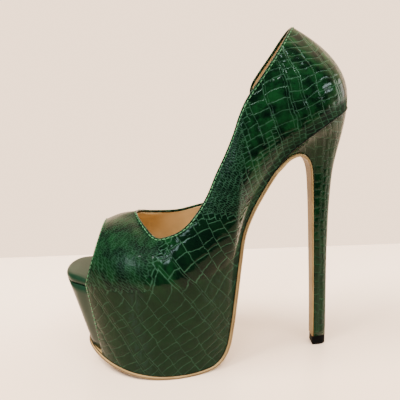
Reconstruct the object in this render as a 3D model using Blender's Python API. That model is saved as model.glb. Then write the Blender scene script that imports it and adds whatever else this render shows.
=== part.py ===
"""Peep toe pump, left shoe: platform pump with an open toe and a thin high heel.

Built as the maker's pieces: upper, insole, sock lining, platform, outsole, heel and heel tip.
Metres, +Z up. The toe points to -X, the outer side of the foot is at -Y, and the origin is on the
floor in the middle of the plan. Change the driving sizes below to resize the shoe; the tables
hold shares of them.
"""
import math
from collections import namedtuple

import bmesh
import bpy
import numpy as np

# Driving sizes, in metres.
SHOE_LENGTH = 0.1840        # toe lip to the back of the heel, in plan
BALL_WIDTH = 0.0792         # widest part of the forefoot
PLATFORM_HEIGHT = 0.0605    # floor to the crease along the top of the platform
HEEL_HEIGHT = 0.1634        # floor to the back of the seat
COLLAR_DEPTH = 0.0485       # back of the seat to the top of the counter
UPPER_WALL = 0.0018         # leather and lining together
CLEARANCE = 0.0003          # between pieces that touch
OUTSOLE_THICKNESS = 0.0023
BREAST_THICKNESS = 0.0011   # outsole where it runs down the heel
OUTSOLE_EDGE = 0.0006       # how far the outsole stands out past the leather
BOARD_THICKNESS = 0.0028    # wrapped insole board
LIP_THICKNESS = 0.0056      # insole lip in the peep opening
LIP_SETBACK = -0.0002       # lip and platform front, behind the toe line of the tables
FRONT_SETBACK = 0.0004
SOCK_THICKNESS = 0.0009
SOCK_MARGIN = 0.0003
SOCK_SHANK_MARGIN = 0.0011  # inside the sole edge, where the leather flares out
SOCK_TOE_MARGIN = 0.0095
SHANK_MARGIN = 0.0012       # extra room where the leather flares out from the shank
PLATFORM_BACK_MARGIN = 0.0022
TIP_HEIGHT = 0.0065
TIP_LENGTH = 0.0096
TIP_WIDTH = 0.0088

# Where things happen along the table stations.
PEEP_STATION = 2.0
THROAT_STATION = 4.4
PLATFORM_END_STATION = 13.0
HEEL_STATION = 16.35
BACK_STATION = 22.0
STEM_POWER = 2.5            # roundness of the stem section

RISE = HEEL_HEIGHT - PLATFORM_HEIGHT
HEEL_AXIS = 0.93587         # share of the length at the middle of the heel tip
TIP_FRONT = 0.58            # share of the tip's length in front of that
TIP_LEVEL = (TIP_HEIGHT + CLEARANCE) / PLATFORM_HEIGHT
BEVEL = 0.22                # rounding of the outsole's edge, share of its thickness

# Lower walls of the upper, one row per station from the toe to the back of the heel.
# along: share of the length. level: 0 to 1 up the platform, 1 to 2 up to the seat.
# half: share of half the ball width. centre: sideways shift, in the same share.
Wall = namedtuple("Wall", "station foot_along foot_level foot_half rim_along rim_level rim_half centre")
WALLS = [
    Wall(0, 0.0707, 0.2116, 0, 0, 1, 0, 0.096),
    Wall(1, 0.0859, 0.2, 0.3232, 0.0201, 1, 0.3535, 0.0884),
    Wall(2, 0.1288, 0.1669, 0.6061, 0.0908, 1, 0.6768, 0.0657),
    Wall(3, 0.1804, 0.124, 0.7879, 0.156, 1, 0.8434, 0.0354),
    Wall(4, 0.2457, 0.0793, 0.9141, 0.2321, 0.9983, 0.9545, 0.0152),
    Wall(5, 0.3217, 0.0479, 0.9646, 0.3136, 0.9983, 1, 0),
    Wall(6, 0.3978, 0.0397, 0.9444, 0.3924, 1.0049, 0.9899, -0.0076),
    Wall(7, 0.4685, 0.0413, 0.8586, 0.4603, 1.0233, 0.9192, -0.0076),
    Wall(8, 0.5283, 0.076, 0.7475, 0.4984, 1.0428, 0.8611, -0.0051),
    Wall(9, 0.5652, 0.2066, 0.6566, 0.525, 1.0583, 0.8157, 0),
    Wall(10, 0.5837, 0.4628, 0.6212, 0.5495, 1.0777, 0.7753, 0),
    Wall(11, 0.5989, 0.7934, 0.5909, 0.5734, 1.104, 0.7348, 0),
    Wall(12, 0.6136, 1.0826, 0.5556, 0.5978, 1.1565, 0.6919, 0),
    Wall(13, 0.6283, 1.2527, 0.5202, 0.6228, 1.3042, 0.6364, 0),
    Wall(14, 0.6576, 1.3916, 0.4899, 0.6489, 1.4441, 0.6086, 0),
    Wall(15, 0.6989, 1.5277, 0.4747, 0.6859, 1.5763, 0.5909, 0),
    Wall(16, 0.7391, 1.6424, 0.4798, 0.7239, 1.69, 0.5808, 0),
    Wall(17, 0.7837, 1.7434, 0.5051, 0.7685, 1.792, 0.5758, 0),
    Wall(18, 0.8326, 1.8192, 0.5253, 0.8185, 1.8698, 0.5808, 0),
    Wall(19, 0.887, 1.8892, 0.5202, 0.8761, 1.9417, 0.5631, 0),
    Wall(20, 0.9359, 1.9427, 0.4545, 0.9304, 1.9961, 0.4874, 0),
    Wall(21, 0.9783, 1.9845, 0.3106, 0.9766, 2.0369, 0.3283, 0),
    Wall(22, 1, 2, 0, 0.9989, 2.0525, 0, 0),
]

# How far up the wall the insole lies, from the foot to the rim of the same station.
Bed = namedtuple("Bed", "station share")
BEDS = [
    Bed(0, 0.93),
    Bed(8, 0.93),
    Bed(9, 0.94),
    Bed(10, 0.95),
    Bed(11, 0.95),
    Bed(12, 0.9),
    Bed(12.5, 0.52),
    Bed(13, 0.08),
    Bed(13.4, 0),
    Bed(22, 0),
]

# Upper edges. over: height above the rim at the same station, share of the collar depth.
Line = namedtuple("Line", "station along over half")
RIDGE = [
    Line(2, 0.15, 0.6804, 0),
    Line(2.8, 0.1859, 0.732, 0),
    Line(3.6, 0.2293, 0.7827, 0),
    Line(4.4, 0.2685, 0.8103, 0),
]
LATERAL_TOPLINE = [
    Line(4.4, 0.2685, 0.8103, 0),
    Line(4.7, 0.2837, 0.7649, 0.303),
    Line(5, 0.3054, 0.6784, 0.4798),
    Line(5.3, 0.3261, 0.6231, 0.6061),
    Line(5.6, 0.3446, 0.5988, 0.6818),
    Line(6, 0.3761, 0.6247, 0.7475),
    Line(6.4, 0.4087, 0.6647, 0.7879),
    Line(6.8, 0.4397, 0.7357, 0.798),
    Line(7.3, 0.4696, 0.8454, 0.7828),
    Line(8, 0.5011, 0.9959, 0.7475),
    Line(9, 0.5364, 1.2577, 0.7197),
    Line(10, 0.5663, 1.4495, 0.7071),
    Line(11, 0.5918, 1.6247, 0.697),
    Line(12, 0.6109, 1.7196, 0.6843),
    Line(13, 0.6288, 1.5608, 0.6717),
    Line(14, 0.6462, 1.3732, 0.6566),
    Line(15, 0.6641, 1.1835, 0.6364),
    Line(16, 0.681, 1.0247, 0.6111),
    Line(17, 0.6973, 0.8928, 0.5808),
    Line(18, 0.713, 0.8103, 0.5455),
    Line(19, 0.7315, 0.7546, 0.4899),
    Line(20, 0.7549, 0.7608, 0.3965),
    Line(20.7, 0.7761, 0.8095, 0.2778),
    Line(21.4, 0.7962, 0.8693, 0.1263),
    Line(22, 0.8065, 0.8887, 0),
]
MEDIAL_TOPLINE = [
    Line(4.4, 0.2685, 0.8103, 0),
    Line(4.7, 0.2837, 0.7691, 0.303),
    Line(5, 0.3054, 0.7216, 0.4924),
    Line(5.3, 0.3261, 0.6932, 0.6061),
    Line(5.6, 0.3489, 0.6751, 0.6692),
    Line(6, 0.3842, 0.6557, 0.7323),
    Line(6.4, 0.4196, 0.6441, 0.7702),
    Line(6.8, 0.4549, 0.6532, 0.7828),
    Line(7.3, 0.4875, 0.6619, 0.7828),
    Line(8, 0.5201, 0.6619, 0.7677),
    Line(9, 0.5484, 0.6454, 0.7475),
    Line(10, 0.5685, 0.6124, 0.7323),
    Line(11, 0.5848, 0.5814, 0.7172),
    Line(12, 0.5989, 0.5196, 0.702),
    Line(13, 0.6136, 0.2887, 0.6894),
    Line(14, 0.6353, 0.1464, 0.6742),
    Line(15, 0.6641, 0.0784, 0.6641),
    Line(16, 0.688, 0.068, 0.6616),
    Line(16.5, 0.6973, 0.1186, 0.6616),
    Line(17, 0.7011, 0.1753, 0.6566),
    Line(17.5, 0.6978, 0.268, 0.649),
    Line(18, 0.6902, 0.3464, 0.6338),
    Line(18.5, 0.6859, 0.4103, 0.6111),
    Line(18.9, 0.6935, 0.4606, 0.5808),
    Line(19.3, 0.7109, 0.5221, 0.5354),
    Line(20, 0.7489, 0.6701, 0.399),
    Line(20.7, 0.7772, 0.7889, 0.2576),
    Line(21.4, 0.7978, 0.8672, 0.1187),
    Line(22, 0.8065, 0.8887, 0),
]

# How the sections swell between the rim and the upper edge.
Form = namedtuple("Form", "station lean swell flare tuck")
FORMS = [
    Form(2, 0.1, 0.42, 1, 0.4),
    Form(4.4, 0.12, 0.42, 1, 0.42),
    Form(5, 0.15, 0.4, 0.82, 0.36),
    Form(5.6, 0.16, 0.36, 0.62, 0.33),
    Form(6.4, 0.18, 0.34, 0.42, 0.33),
    Form(8, 0.25, 0.33, 0.25, 0.33),
    Form(10, 0.32, 0.33, 0.18, 0.33),
    Form(12, 0.45, 0.3, 0.16, 0.33),
    Form(14, 0.5, 0.28, 0.16, 0.33),
    Form(16, 0.46, 0.28, 0.17, 0.33),
    Form(18, 0.32, 0.3, 0.22, 0.33),
    Form(19, 0.22, 0.32, 0.34, 0.33),
    Form(20, 0.14, 0.33, 0.52, 0.34),
    Form(21, 0.05, 0.35, 0.74, 0.36),
    Form(22, 0, 0.36, 0.88, 0.38),
]

# Heel: front edge and back line, one row per level from the seat to the tip.
Stem = namedtuple("Stem", "front_along front_level front_half back_along back_level")
STEMS = [
    Stem(0.7543, 1.6696, 0.4773, 1, 1.9971),
    Stem(0.781, 1.7143, 0.4444, 0.9962, 1.9378),
    Stem(0.8109, 1.7357, 0.3788, 0.9902, 1.8698),
    Stem(0.8364, 1.7347, 0.3207, 0.9826, 1.8017),
    Stem(0.8587, 1.7123, 0.2677, 0.9734, 1.7289),
    Stem(0.8766, 1.6657, 0.2172, 0.9647, 1.6511),
    Stem(0.8859, 1.5928, 0.1818, 0.9592, 1.5685),
    Stem(0.8908, 1.4713, 0.1591, 0.9554, 1.4519),
    Stem(0.8951, 1.3061, 0.1439, 0.9527, 1.3061),
    Stem(0.9011, 1.0243, 0.1288, 0.9527, 1.0243),
    Stem(0.9065, 0.562, 0.1162, 0.956, 0.562),
    Stem(0.9103, TIP_LEVEL, 0.1086, 0.9587, TIP_LEVEL),
]


def along(share):
    """X of a share of the length."""
    return (share - HEEL_AXIS) * SHOE_LENGTH


def level(share):
    """Z of a level: 0 to 1 in the platform, 1 to 2 from there to the seat."""
    return PLATFORM_HEIGHT * min(share, 1.0) + RISE * max(share - 1.0, 0.0)


def half(share):
    """Half width of a share of half the ball width."""
    return share * BALL_WIDTH / 2.0


class Curve:
    """Smooth curve through table rows; the ends can mirror for a round nose or back."""

    def __init__(self, keys, rows, mirror_start=None, mirror_end=None):
        keys = list(keys)
        rows = [np.array(r, dtype=float) for r in rows]
        if mirror_start is not None:
            keys.insert(0, 2 * keys[0] - keys[1])
            rows.insert(0, rows[1] * np.array(mirror_start))
        if mirror_end is not None:
            keys.append(2 * keys[-1] - keys[-2])
            rows.append(rows[-2] * np.array(mirror_end))
        self.keys = np.array(keys)
        self.rows = np.array(rows)
        steps = np.diff(self.keys)[:, None]
        slopes = np.diff(self.rows, axis=0) / steps
        inner = (slopes[:-1] * steps[1:] + slopes[1:] * steps[:-1]) / (steps[1:] + steps[:-1])
        self.slopes = np.vstack([slopes[:1], inner, slopes[-1:]])

    def at(self, key):
        """Point of the curve at a key."""
        k = int(np.clip(np.searchsorted(self.keys, key, side="right") - 1, 0, len(self.keys) - 2))
        span = self.keys[k + 1] - self.keys[k]
        u = (key - self.keys[k]) / span
        a = 2 * u**3 - 3 * u**2 + 1
        b = u**3 - 2 * u**2 + u
        c = -2 * u**3 + 3 * u**2
        d = u**3 - u**2
        return (
            a * self.rows[k]
            + b * span * self.slopes[k]
            + c * self.rows[k + 1]
            + d * span * self.slopes[k + 1]
        )


STATIONS = [row.station for row in WALLS]
FOOT = Curve(
    STATIONS,
    [(along(r.foot_along), level(r.foot_level), half(r.foot_half)) for r in WALLS],
    (1, 1, -1),
    (1, 1, -1),
)
RIM = Curve(
    STATIONS,
    [(along(r.rim_along), level(r.rim_level), half(r.rim_half)) for r in WALLS],
    (1, 1, -1),
    (1, 1, -1),
)
CENTRE = Curve(STATIONS, [(half(r.centre),) for r in WALLS], (1,), (1,))
BED = Curve([r.station for r in BEDS], [(r.share,) for r in BEDS])
FORM = Curve([r.station for r in FORMS], [r[1:] for r in FORMS])


def top_curve(rows, mirrored):
    """Curve of an upper edge; its heights stand on the rim at the same station."""
    points = []
    for row in rows:
        base = RIM.at(row.station)[1]
        points.append((along(row.along), base + row.over * COLLAR_DEPTH, half(row.half)))
    ends = (1, 1, -1) if mirrored else None
    return Curve([r.station for r in rows], points, ends, ends)


RIDGE_LINE = top_curve(RIDGE, False)
TOPLINES = {-1: top_curve(LATERAL_TOPLINE, True), 1: top_curve(MEDIAL_TOPLINE, True)}


def unit(vector):
    """The vector scaled to length one."""
    return vector / max(float(np.linalg.norm(vector)), 1e-12)


def smooth(low, high, value):
    """Smooth step from 0 at low to 1 at high."""
    u = min(max((value - low) / (high - low), 0.0), 1.0)
    return u * u * (3.0 - 2.0 * u)


def side_point(row, station, side):
    """Point on one side from an (x, z, half) row."""
    x, z, width = row
    return np.array([x, CENTRE.at(station)[0] + side * width, z])


def outward(curve, station, side):
    """Level direction away from the foot at a station of a plan outline."""
    before = side_point(curve.at(station - 0.05), station, side)
    after = side_point(curve.at(station + 0.05), station, side)
    step = after - before
    return unit(np.array([-side * step[1], side * step[0], 0.0]))


def upper_section(station, side, wall_rows, body_rows):
    """Outer points of one section of the upper, from the sole edge to the upper edge."""
    foot = side_point(FOOT.at(station), station, side)
    rim = side_point(RIM.at(station), station, side)
    if station < THROAT_STATION:
        top = side_point(RIDGE_LINE.at(station), station, side)
        top[1] = CENTRE.at(THROAT_STATION)[0]
    else:
        top = side_point(TOPLINES[side].at(station), station, side)
        top[1] += (CENTRE.at(THROAT_STATION)[0] - CENTRE.at(station)[0]) * (
            1.0 - smooth(THROAT_STATION, THROAT_STATION + 2.0, station)
        )
    lean, swell, flare, tuck = FORM.at(station)
    away = outward(RIM, min(station, BACK_STATION - 0.06), side)
    if station > BACK_STATION - 0.06:
        away = np.array([1.0, 0.0, 0.0])
    blend = smooth(15.0, 19.0, station)
    across = np.array([0.0, side, 0.0])
    away = unit(across * (1.0 - blend) + away * blend)
    run = top - rim
    reach = float(np.linalg.norm(run))
    climb = unit(run - away * float(run @ away))
    flare = min(flare, 1.0)
    start = away * lean + climb * math.sqrt(1.0 - lean * lean)
    finish = away * flare - climb * math.sqrt(1.0 - flare * flare)
    one = rim + start * swell * reach
    two = top + finish * tuck * reach
    points = []
    for k in range(wall_rows):
        points.append(foot + (rim - foot) * (k / wall_rows))
    for k in range(body_rows + 1):
        u = k / body_rows
        w = 1.0 - u
        points.append(w**3 * rim + 3 * w * w * u * one + 3 * w * u * u * two + u**3 * top)
    return points


def spread(marks):
    """Stations from (start, end, count) spans."""
    out = []
    for start, end, count in marks:
        out.extend(start + (end - start) * k / count for k in range(count))
    out.append(marks[-1][1])
    return out


# Stations that all pieces share, so that neighbours keep an even clearance.
SHARED_STATIONS = spread(
    [(0.0, PEEP_STATION, 9), (PEEP_STATION, THROAT_STATION, 7), (THROAT_STATION, 7.4, 13),
     (7.4, 9.4, 6), (9.4, PLATFORM_END_STATION, 7), (PLATFORM_END_STATION, HEEL_STATION, 6),
     (HEEL_STATION, BACK_STATION, 15)]
)


def shared(start, end):
    """The shared stations from start to end."""
    return [s for s in SHARED_STATIONS if start - 1e-9 <= s <= end + 1e-9]


def finish_object(bm, name, colour, roughness):
    """Mesh object with its own plain material."""
    mesh = bpy.data.meshes.new(name)
    bm.to_mesh(mesh)
    bm.free()
    thing = bpy.data.objects.new(name, mesh)
    bpy.context.collection.objects.link(thing)
    material = bpy.data.materials.new(name + "_finish")
    material.use_nodes = True
    shader = material.node_tree.nodes["Principled BSDF"]
    shader.inputs["Base Color"].default_value = (*colour, 1.0)
    shader.inputs["Roughness"].default_value = roughness
    mesh.materials.append(material)
    return thing


def build_upper():
    """Hollow upper: outer skin, the same skin moved in by the wall, and edges between."""
    stations = shared(PEEP_STATION, BACK_STATION)
    bm = bmesh.new()
    grids = {}
    for side in (-1, 1):
        grids[side] = [[bm.verts.new(p) for p in upper_section(s, side, 4, 11)] for s in stations]
    weld = []
    for k, station in enumerate(stations):
        if station <= THROAT_STATION + 1e-9:
            weld.append((grids[1][k][-1], grids[-1][k][-1]))
    for one, two in zip(grids[1][-1], grids[-1][-1]):
        weld.append((one, two))
    swap = {one: two for one, two in weld}
    for side in (-1, 1):
        grid = [[swap.get(v, v) for v in column] for column in grids[side]]
        for left, right in zip(grid[:-1], grid[1:]):
            for k in range(len(left) - 1):
                loop = [left[k], right[k], right[k + 1], left[k + 1]]
                bm.faces.new(loop if side < 0 else loop[::-1])
    for one, _ in weld:
        bm.verts.remove(one)
    bm.normal_update()
    skin = list(bm.faces)
    inner = {v: bm.verts.new(v.co - v.normal * UPPER_WALL) for v in list(bm.verts)}
    edges = [e for e in bm.edges if e.is_boundary]
    for edge in edges:
        face = edge.link_faces[0]
        one, two = edge.verts
        order = list(face.verts)
        if order[(order.index(one) + 1) % len(order)] is not two:
            one, two = two, one
        bm.faces.new([two, one, inner[one], inner[two]])
    for face in skin:
        bm.faces.new([inner[v] for v in reversed(face.verts)])
    bmesh.ops.triangulate(bm, faces=bm.faces[:], quad_method="SHORT_EDGE")
    return finish_object(bm, "upper", (0.012, 0.09, 0.035), 0.22)


def stack(name, loops, colour, roughness):
    """Closed solid from outlines laid one over another.

    Each outline is a list of (x, z, half, centre) rows; a row of no width is a single point.
    """
    bm = bmesh.new()
    rings = []
    for rows in loops:
        left = []
        right = []
        for x, z, width, centre in rows:
            near = bm.verts.new((x, centre - width, z))
            far = near if width < 1e-6 else bm.verts.new((x, centre + width, z))
            left.append(near)
            right.append(far)
        rings.append((left, right))
    for (low_left, low_right), (high_left, high_right) in zip(rings[:-1], rings[1:]):
        for k in range(len(low_left) - 1):
            bm.faces.new([low_left[k], low_left[k + 1], high_left[k + 1], high_left[k]])
            bm.faces.new([low_right[k + 1], low_right[k], high_right[k], high_right[k + 1]])
        if low_left[0] is not low_right[0]:
            bm.faces.new([low_right[0], low_left[0], high_left[0], high_right[0]])
        if low_left[-1] is not low_right[-1]:
            bm.faces.new([low_left[-1], low_right[-1], high_right[-1], high_left[-1]])
    for (left, right), up in ((rings[0], False), (rings[-1], True)):
        for k in range(len(left) - 1):
            loop = [left[k], left[k + 1], right[k + 1], right[k]]
            loop = [v for n, v in enumerate(loop) if v is not loop[n - 1]]
            bm.faces.new(loop if up else loop[::-1])
    bmesh.ops.triangulate(bm, faces=bm.faces[:], quad_method="SHORT_EDGE")
    bmesh.ops.recalc_face_normals(bm, faces=bm.faces[:])
    return finish_object(bm, name, colour, roughness)


def plan_inset(row, curve, station, amount, slope):
    """An (x, z, half) row moved in by an amount, square to the plan outline.

    Round the toe and the back the row also moves along the side profile, of the given slope.
    """
    x, z, width = row
    if station < 0.06:
        return x + amount, z + amount * slope, 0.0
    if station > BACK_STATION - 0.06:
        return x - amount, z - amount * slope, 0.0
    away = outward(curve, station, -1)
    share = 1.0 - smooth(2.0, 3.5, station) + smooth(18.5, 20.5, station)
    shift = -away[0] * amount * share
    narrow = amount * (abs(away[1]) * share + (1.0 - share) / abs(away[1]))
    return x + shift, z + shift * slope, max(width - narrow, 0.0)


def bed_row(station):
    """Point between foot and rim where the insole lies, as (x, z, half)."""
    share = min(max(float(BED.at(station)[0]), 0.0), 0.95)
    foot = FOOT.at(station)
    rim = RIM.at(station)
    return foot + (rim - foot) * share


def profile_normal(rows, station, end):
    """Square to a side profile, towards the foot."""
    before = rows(max(station - 0.3, 0.0))
    after = rows(min(station + 0.3, end))
    step = np.array([after[0] - before[0], after[1] - before[1]])
    step = step / np.linalg.norm(step)
    return np.array([-step[1], step[0]])


def offset_rows(stations, rows, end, amount, inset, curve):
    """Rows lifted square to the profile and moved in from the outline."""
    out = []
    for station in stations:
        lift = amount(station) if callable(amount) else amount
        normal = profile_normal(rows, station, end)
        slope = -normal[0] / normal[1]
        x, z, width = plan_inset(rows(station), curve, station, inset(station), slope)
        out.append((x + normal[0] * lift, z + normal[1] * lift, width, CENTRE.at(station)[0]))
    return out


def wall_inset(setback, margin):
    """Inset that clears the leather, and only the setback where the toe is open."""
    full = UPPER_WALL + CLEARANCE
    return lambda s: (
        setback + (full - setback) * smooth(1.1, 1.85, s) + margin * smooth(9.0, 12.0, s)
    )


def build_platform():
    """Block between the outsole and the insole."""
    stations = shared(0.0, PLATFORM_END_STATION)
    inset = wall_inset(FRONT_SETBACK, PLATFORM_BACK_MARGIN)
    low = offset_rows(stations, FOOT.at, BACK_STATION, 0.0, inset, FOOT)
    high = offset_rows(stations, bed_row, BACK_STATION, -CLEARANCE, inset, RIM)
    low[-1] = (high[-1][0] - 0.0004, high[-1][1] - 0.0012, high[-1][2], high[-1][3])
    return stack("platform", [low, high], (0.012, 0.09, 0.035), 0.3)


def board_thickness(station):
    """Insole thickness: a thick lip at the toe, then the board."""
    return LIP_THICKNESS + (BOARD_THICKNESS - LIP_THICKNESS) * smooth(1.2, 2.6, station)


def build_insole():
    """Wrapped board on the platform, the shank and the heel, with rounded edges."""
    stations = shared(0.0, BACK_STATION)
    inset = wall_inset(LIP_SETBACK, SHANK_MARGIN)
    loops = []
    for share, back in ((0.0, 0.35), (0.25, 0.0), (0.75, 0.0), (1.0, 0.35)):
        def depth(s, share=share):
            return board_thickness(s) * share

        def edge(s, back=back):
            return inset(s) + back * board_thickness(s) * (1.0 if s < 2.0 else 0.6)

        loops.append(offset_rows(stations, bed_row, BACK_STATION, depth, edge, RIM))
    return stack("insole", loops, (0.012, 0.09, 0.035), 0.3)


def build_sock_lining():
    """Thin tan sheet on the insole."""
    stations = shared(0.0, BACK_STATION)
    full = UPPER_WALL + CLEARANCE + SOCK_MARGIN

    def edge(s):
        toe = SOCK_TOE_MARGIN + (full - SOCK_TOE_MARGIN) * smooth(0.6, 3.4, s)
        shank = (SOCK_SHANK_MARGIN - full) * (smooth(9.5, 13.0, s) - smooth(18.0, 21.0, s))
        return toe + shank + SHANK_MARGIN * smooth(18.0, 21.0, s)

    loops = []
    for lift in (0.0, SOCK_THICKNESS):
        def depth(s, lift=lift):
            return board_thickness(s) + CLEARANCE + lift

        loops.append(offset_rows(stations, bed_row, BACK_STATION, depth, edge, RIM))
    return stack("sock_lining", loops, (0.62, 0.36, 0.2), 0.5)


HEEL_FRONT = Curve(
    range(len(STEMS)),
    [(along(r.front_along), level(r.front_level), half(r.front_half)) for r in STEMS],
)
HEEL_BACK = Curve(
    range(len(STEMS)), [(along(r.back_along), level(r.back_level), 0.0) for r in STEMS]
)


def build_outsole():
    """Sheet along the profile: forefoot, platform back, shank, arch and heel breast."""
    path = []
    for s in shared(0.0, HEEL_STATION - 0.3):
        x, z, width = FOOT.at(s)
        path.append((x, z, width, CENTRE.at(s)[0], s))
    last = len(STEMS) - 1
    for k in spread([(0.0, 8.0, 22), (8.0, last, 6)]):
        x, z, width = HEEL_FRONT.at(k)
        path.append((x, z, width, 0.0, BACK_STATION + k))
    loops = [[], [], [], []]
    for n, (x, z, width, centre, key) in enumerate(path):
        before = path[max(n - 1, 0)]
        after = path[min(n + 1, len(path) - 1)]
        step = unit(np.array([after[0] - before[0], after[1] - before[1]]))
        normal = np.array([-step[1], step[0]])
        if n == len(path) - 1:
            normal = np.array([1.0, 0.0])
        on_heel = key >= BACK_STATION
        slim = smooth(BACK_STATION + 1.0, BACK_STATION + 6.0, key)
        thick = OUTSOLE_THICKNESS + (BREAST_THICKNESS - OUTSOLE_THICKNESS) * slim
        stand = 0.0002 if on_heel else OUTSOLE_EDGE
        if n == 0:
            x -= stand
        else:
            width += stand
        bevel = BEVEL * thick
        for loop, depth, back in (
            (0, thick, bevel), (1, thick - bevel, 0.0), (2, bevel, 0.0), (3, 0.0, bevel)
        ):
            drop = CLEARANCE + depth
            px = x - normal[0] * drop + (back if n == 0 else 0.0)
            pz = max(z - normal[1] * drop, 0.0)
            loops[loop].append((px, pz, 0.0 if n == 0 else max(width - back, 0.0005), centre))
    return stack("outsole", loops, (0.6, 0.42, 0.25), 0.45)


def build_heel():
    """Heel: cup under the seat, arch, and stem down to the tip."""
    seat_stations = shared(HEEL_STATION, BACK_STATION)
    columns = len(seat_stations) - 1
    levels = spread([(0.0, 8.0, 20), (8.0, len(STEMS) - 1, 5)])
    shares = [(s - HEEL_STATION) / (BACK_STATION - HEEL_STATION) for s in seat_stations]
    seat = []
    for s in seat_stations:
        x, z, width = FOOT.at(s)
        normal = profile_normal(FOOT.at, s, BACK_STATION)
        seat.append(np.array([x - normal[0] * CLEARANCE, z - normal[1] * CLEARANCE, width]))
    seat[-1][2] = 0.0
    first = seat[0]
    last = seat[-1]
    form = []
    for point in seat:
        u = (point[0] - first[0]) / (last[0] - first[0])
        form.append((u, point[2] / first[2], point[1] - first[1] - (last[1] - first[1]) * u))
    bm = bmesh.new()
    rings = []
    for n, key in enumerate(levels):
        front = HEEL_FRONT.at(key)
        back = HEEL_BACK.at(key)
        if n == 0:
            front = first
            back = last
        blend = smooth(0.0, 5.0, key)
        near = []
        far = []
        for k, (u0, q0, rise) in enumerate(form):
            angle = shares[k] * math.pi / 2
            u1 = math.sin(angle) ** (2.0 / STEM_POWER) if k else 0.0
            q1 = math.cos(angle) ** (2.0 / STEM_POWER) if k < columns else 0.0
            u = u0 + (u1 - u0) * blend
            q = q0 + (q1 - q0) * blend
            x = front[0] + (back[0] - front[0]) * u
            z = front[1] + (back[1] - front[1]) * u + rise * (1.0 - blend)
            width = front[2] * q
            one = bm.verts.new((x, -width, z))
            near.append(one)
            far.append(one if k == columns else bm.verts.new((x, width, z)))
        rings.append((near, far))
    for (top_near, top_far), (low_near, low_far) in zip(rings[:-1], rings[1:]):
        for k in range(columns):
            bm.faces.new([low_near[k], low_near[k + 1], top_near[k + 1], top_near[k]])
            bm.faces.new([low_far[k + 1], low_far[k], top_far[k], top_far[k + 1]])
        bm.faces.new([low_far[0], low_near[0], top_near[0], top_far[0]])
    for (near, far), up in ((rings[0], True), (rings[-1], False)):
        for k in range(columns):
            loop = [near[k], near[k + 1], far[k + 1], far[k]]
            loop = [v for n, v in enumerate(loop) if v is not loop[n - 1]]
            bm.faces.new(loop if up else loop[::-1])
    bmesh.ops.triangulate(bm, faces=bm.faces[:], quad_method="SHORT_EDGE")
    bmesh.ops.recalc_face_normals(bm, faces=bm.faces[:])
    return finish_object(bm, "heel", (0.012, 0.09, 0.035), 0.22)


def build_heel_tip():
    """Top piece: flat front, round back, standing on the floor."""
    front = -TIP_LENGTH * TIP_FRONT
    steps = 14
    loops = []
    for z, shrink in ((0.0, 0.0004), (0.0006, 0.0), (TIP_HEIGHT, 0.0)):
        rows = []
        for k in range(steps + 1):
            angle = k / steps * math.pi / 2
            share = math.sin(angle) ** (2.0 / STEM_POWER) if k else 0.0
            x = front + shrink + (TIP_LENGTH - 2 * shrink) * share
            width = (TIP_WIDTH / 2 - shrink) * math.cos(angle) ** (2.0 / STEM_POWER)
            rows.append((x, z, 0.0 if k == steps else width, 0.0))
        loops.append(rows)
    return stack("heel_tip", loops, (0.012, 0.012, 0.012), 0.5)


def recentre(things):
    """Put the origin on the floor in the middle of the plan."""
    points = np.array([v.co[:] for thing in things for v in thing.data.vertices])
    low = points.min(axis=0)
    high = points.max(axis=0)
    shift = ((low[0] + high[0]) / 2.0, (low[1] + high[1]) / 2.0, low[2])
    for thing in things:
        for vertex in thing.data.vertices:
            vertex.co = [c - s for c, s in zip(vertex.co, shift)]
    return shift


def main():
    """Clear the scene, build every piece and place the shoe on the floor."""
    for thing in list(bpy.data.objects):
        bpy.data.objects.remove(thing, do_unlink=True)
    things = [
        build_upper(),
        build_insole(),
        build_sock_lining(),
        build_platform(),
        build_outsole(),
        build_heel(),
        build_heel_tip(),
    ]
    return recentre(things)


SHIFT = main()
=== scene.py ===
"""Looks of a peep toe pump, left shoe: glossy embossed leather, lining, sole, thin heel, stitches.

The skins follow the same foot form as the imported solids, in finer steps. Sizes are in millimetres in
the tables and in metres on the meshes.
"""

from __future__ import annotations

import logging
import math
from dataclasses import dataclass, field
from enum import Enum
from typing import Callable, NamedTuple, Sequence

import bmesh
import bpy
import numpy as np
from mathutils import Matrix, Vector
from mathutils.bvhtree import BVHTree


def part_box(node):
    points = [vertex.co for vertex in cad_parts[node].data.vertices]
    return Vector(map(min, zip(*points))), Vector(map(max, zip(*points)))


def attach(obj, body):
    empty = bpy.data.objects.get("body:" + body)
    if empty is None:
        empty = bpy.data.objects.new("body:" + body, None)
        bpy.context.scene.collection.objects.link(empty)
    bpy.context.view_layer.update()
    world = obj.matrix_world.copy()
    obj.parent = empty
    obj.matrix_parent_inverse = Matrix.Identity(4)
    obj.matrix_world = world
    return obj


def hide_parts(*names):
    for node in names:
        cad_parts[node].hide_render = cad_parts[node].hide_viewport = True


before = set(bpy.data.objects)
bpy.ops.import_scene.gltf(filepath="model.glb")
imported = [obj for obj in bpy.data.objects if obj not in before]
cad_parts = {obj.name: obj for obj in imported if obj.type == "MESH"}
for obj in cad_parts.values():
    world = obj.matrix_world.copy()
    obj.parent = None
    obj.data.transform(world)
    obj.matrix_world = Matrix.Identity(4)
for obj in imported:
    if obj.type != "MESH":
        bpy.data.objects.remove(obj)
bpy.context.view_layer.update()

MM = 0.001
log = logging.getLogger("pump")

Grid = np.ndarray
Span = tuple[float, float]
Triple = tuple[float, float, float]
Colour = tuple[float, float, float, float]


class Side(Enum):
    """Side of the shoe, as the sign of its sideways direction."""

    LATERAL = -1
    MEDIAL = 1


class Wall(NamedTuple):
    """Lower wall of the upper at one station."""

    station: float
    foot_x: float
    foot_z: float
    foot_half: float
    rim_x: float
    rim_z: float
    rim_half: float
    centre: float


class Edge(NamedTuple):
    """Upper edge at one station; over is the height above the rim."""

    station: float
    x: float
    over: float
    half: float


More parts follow.
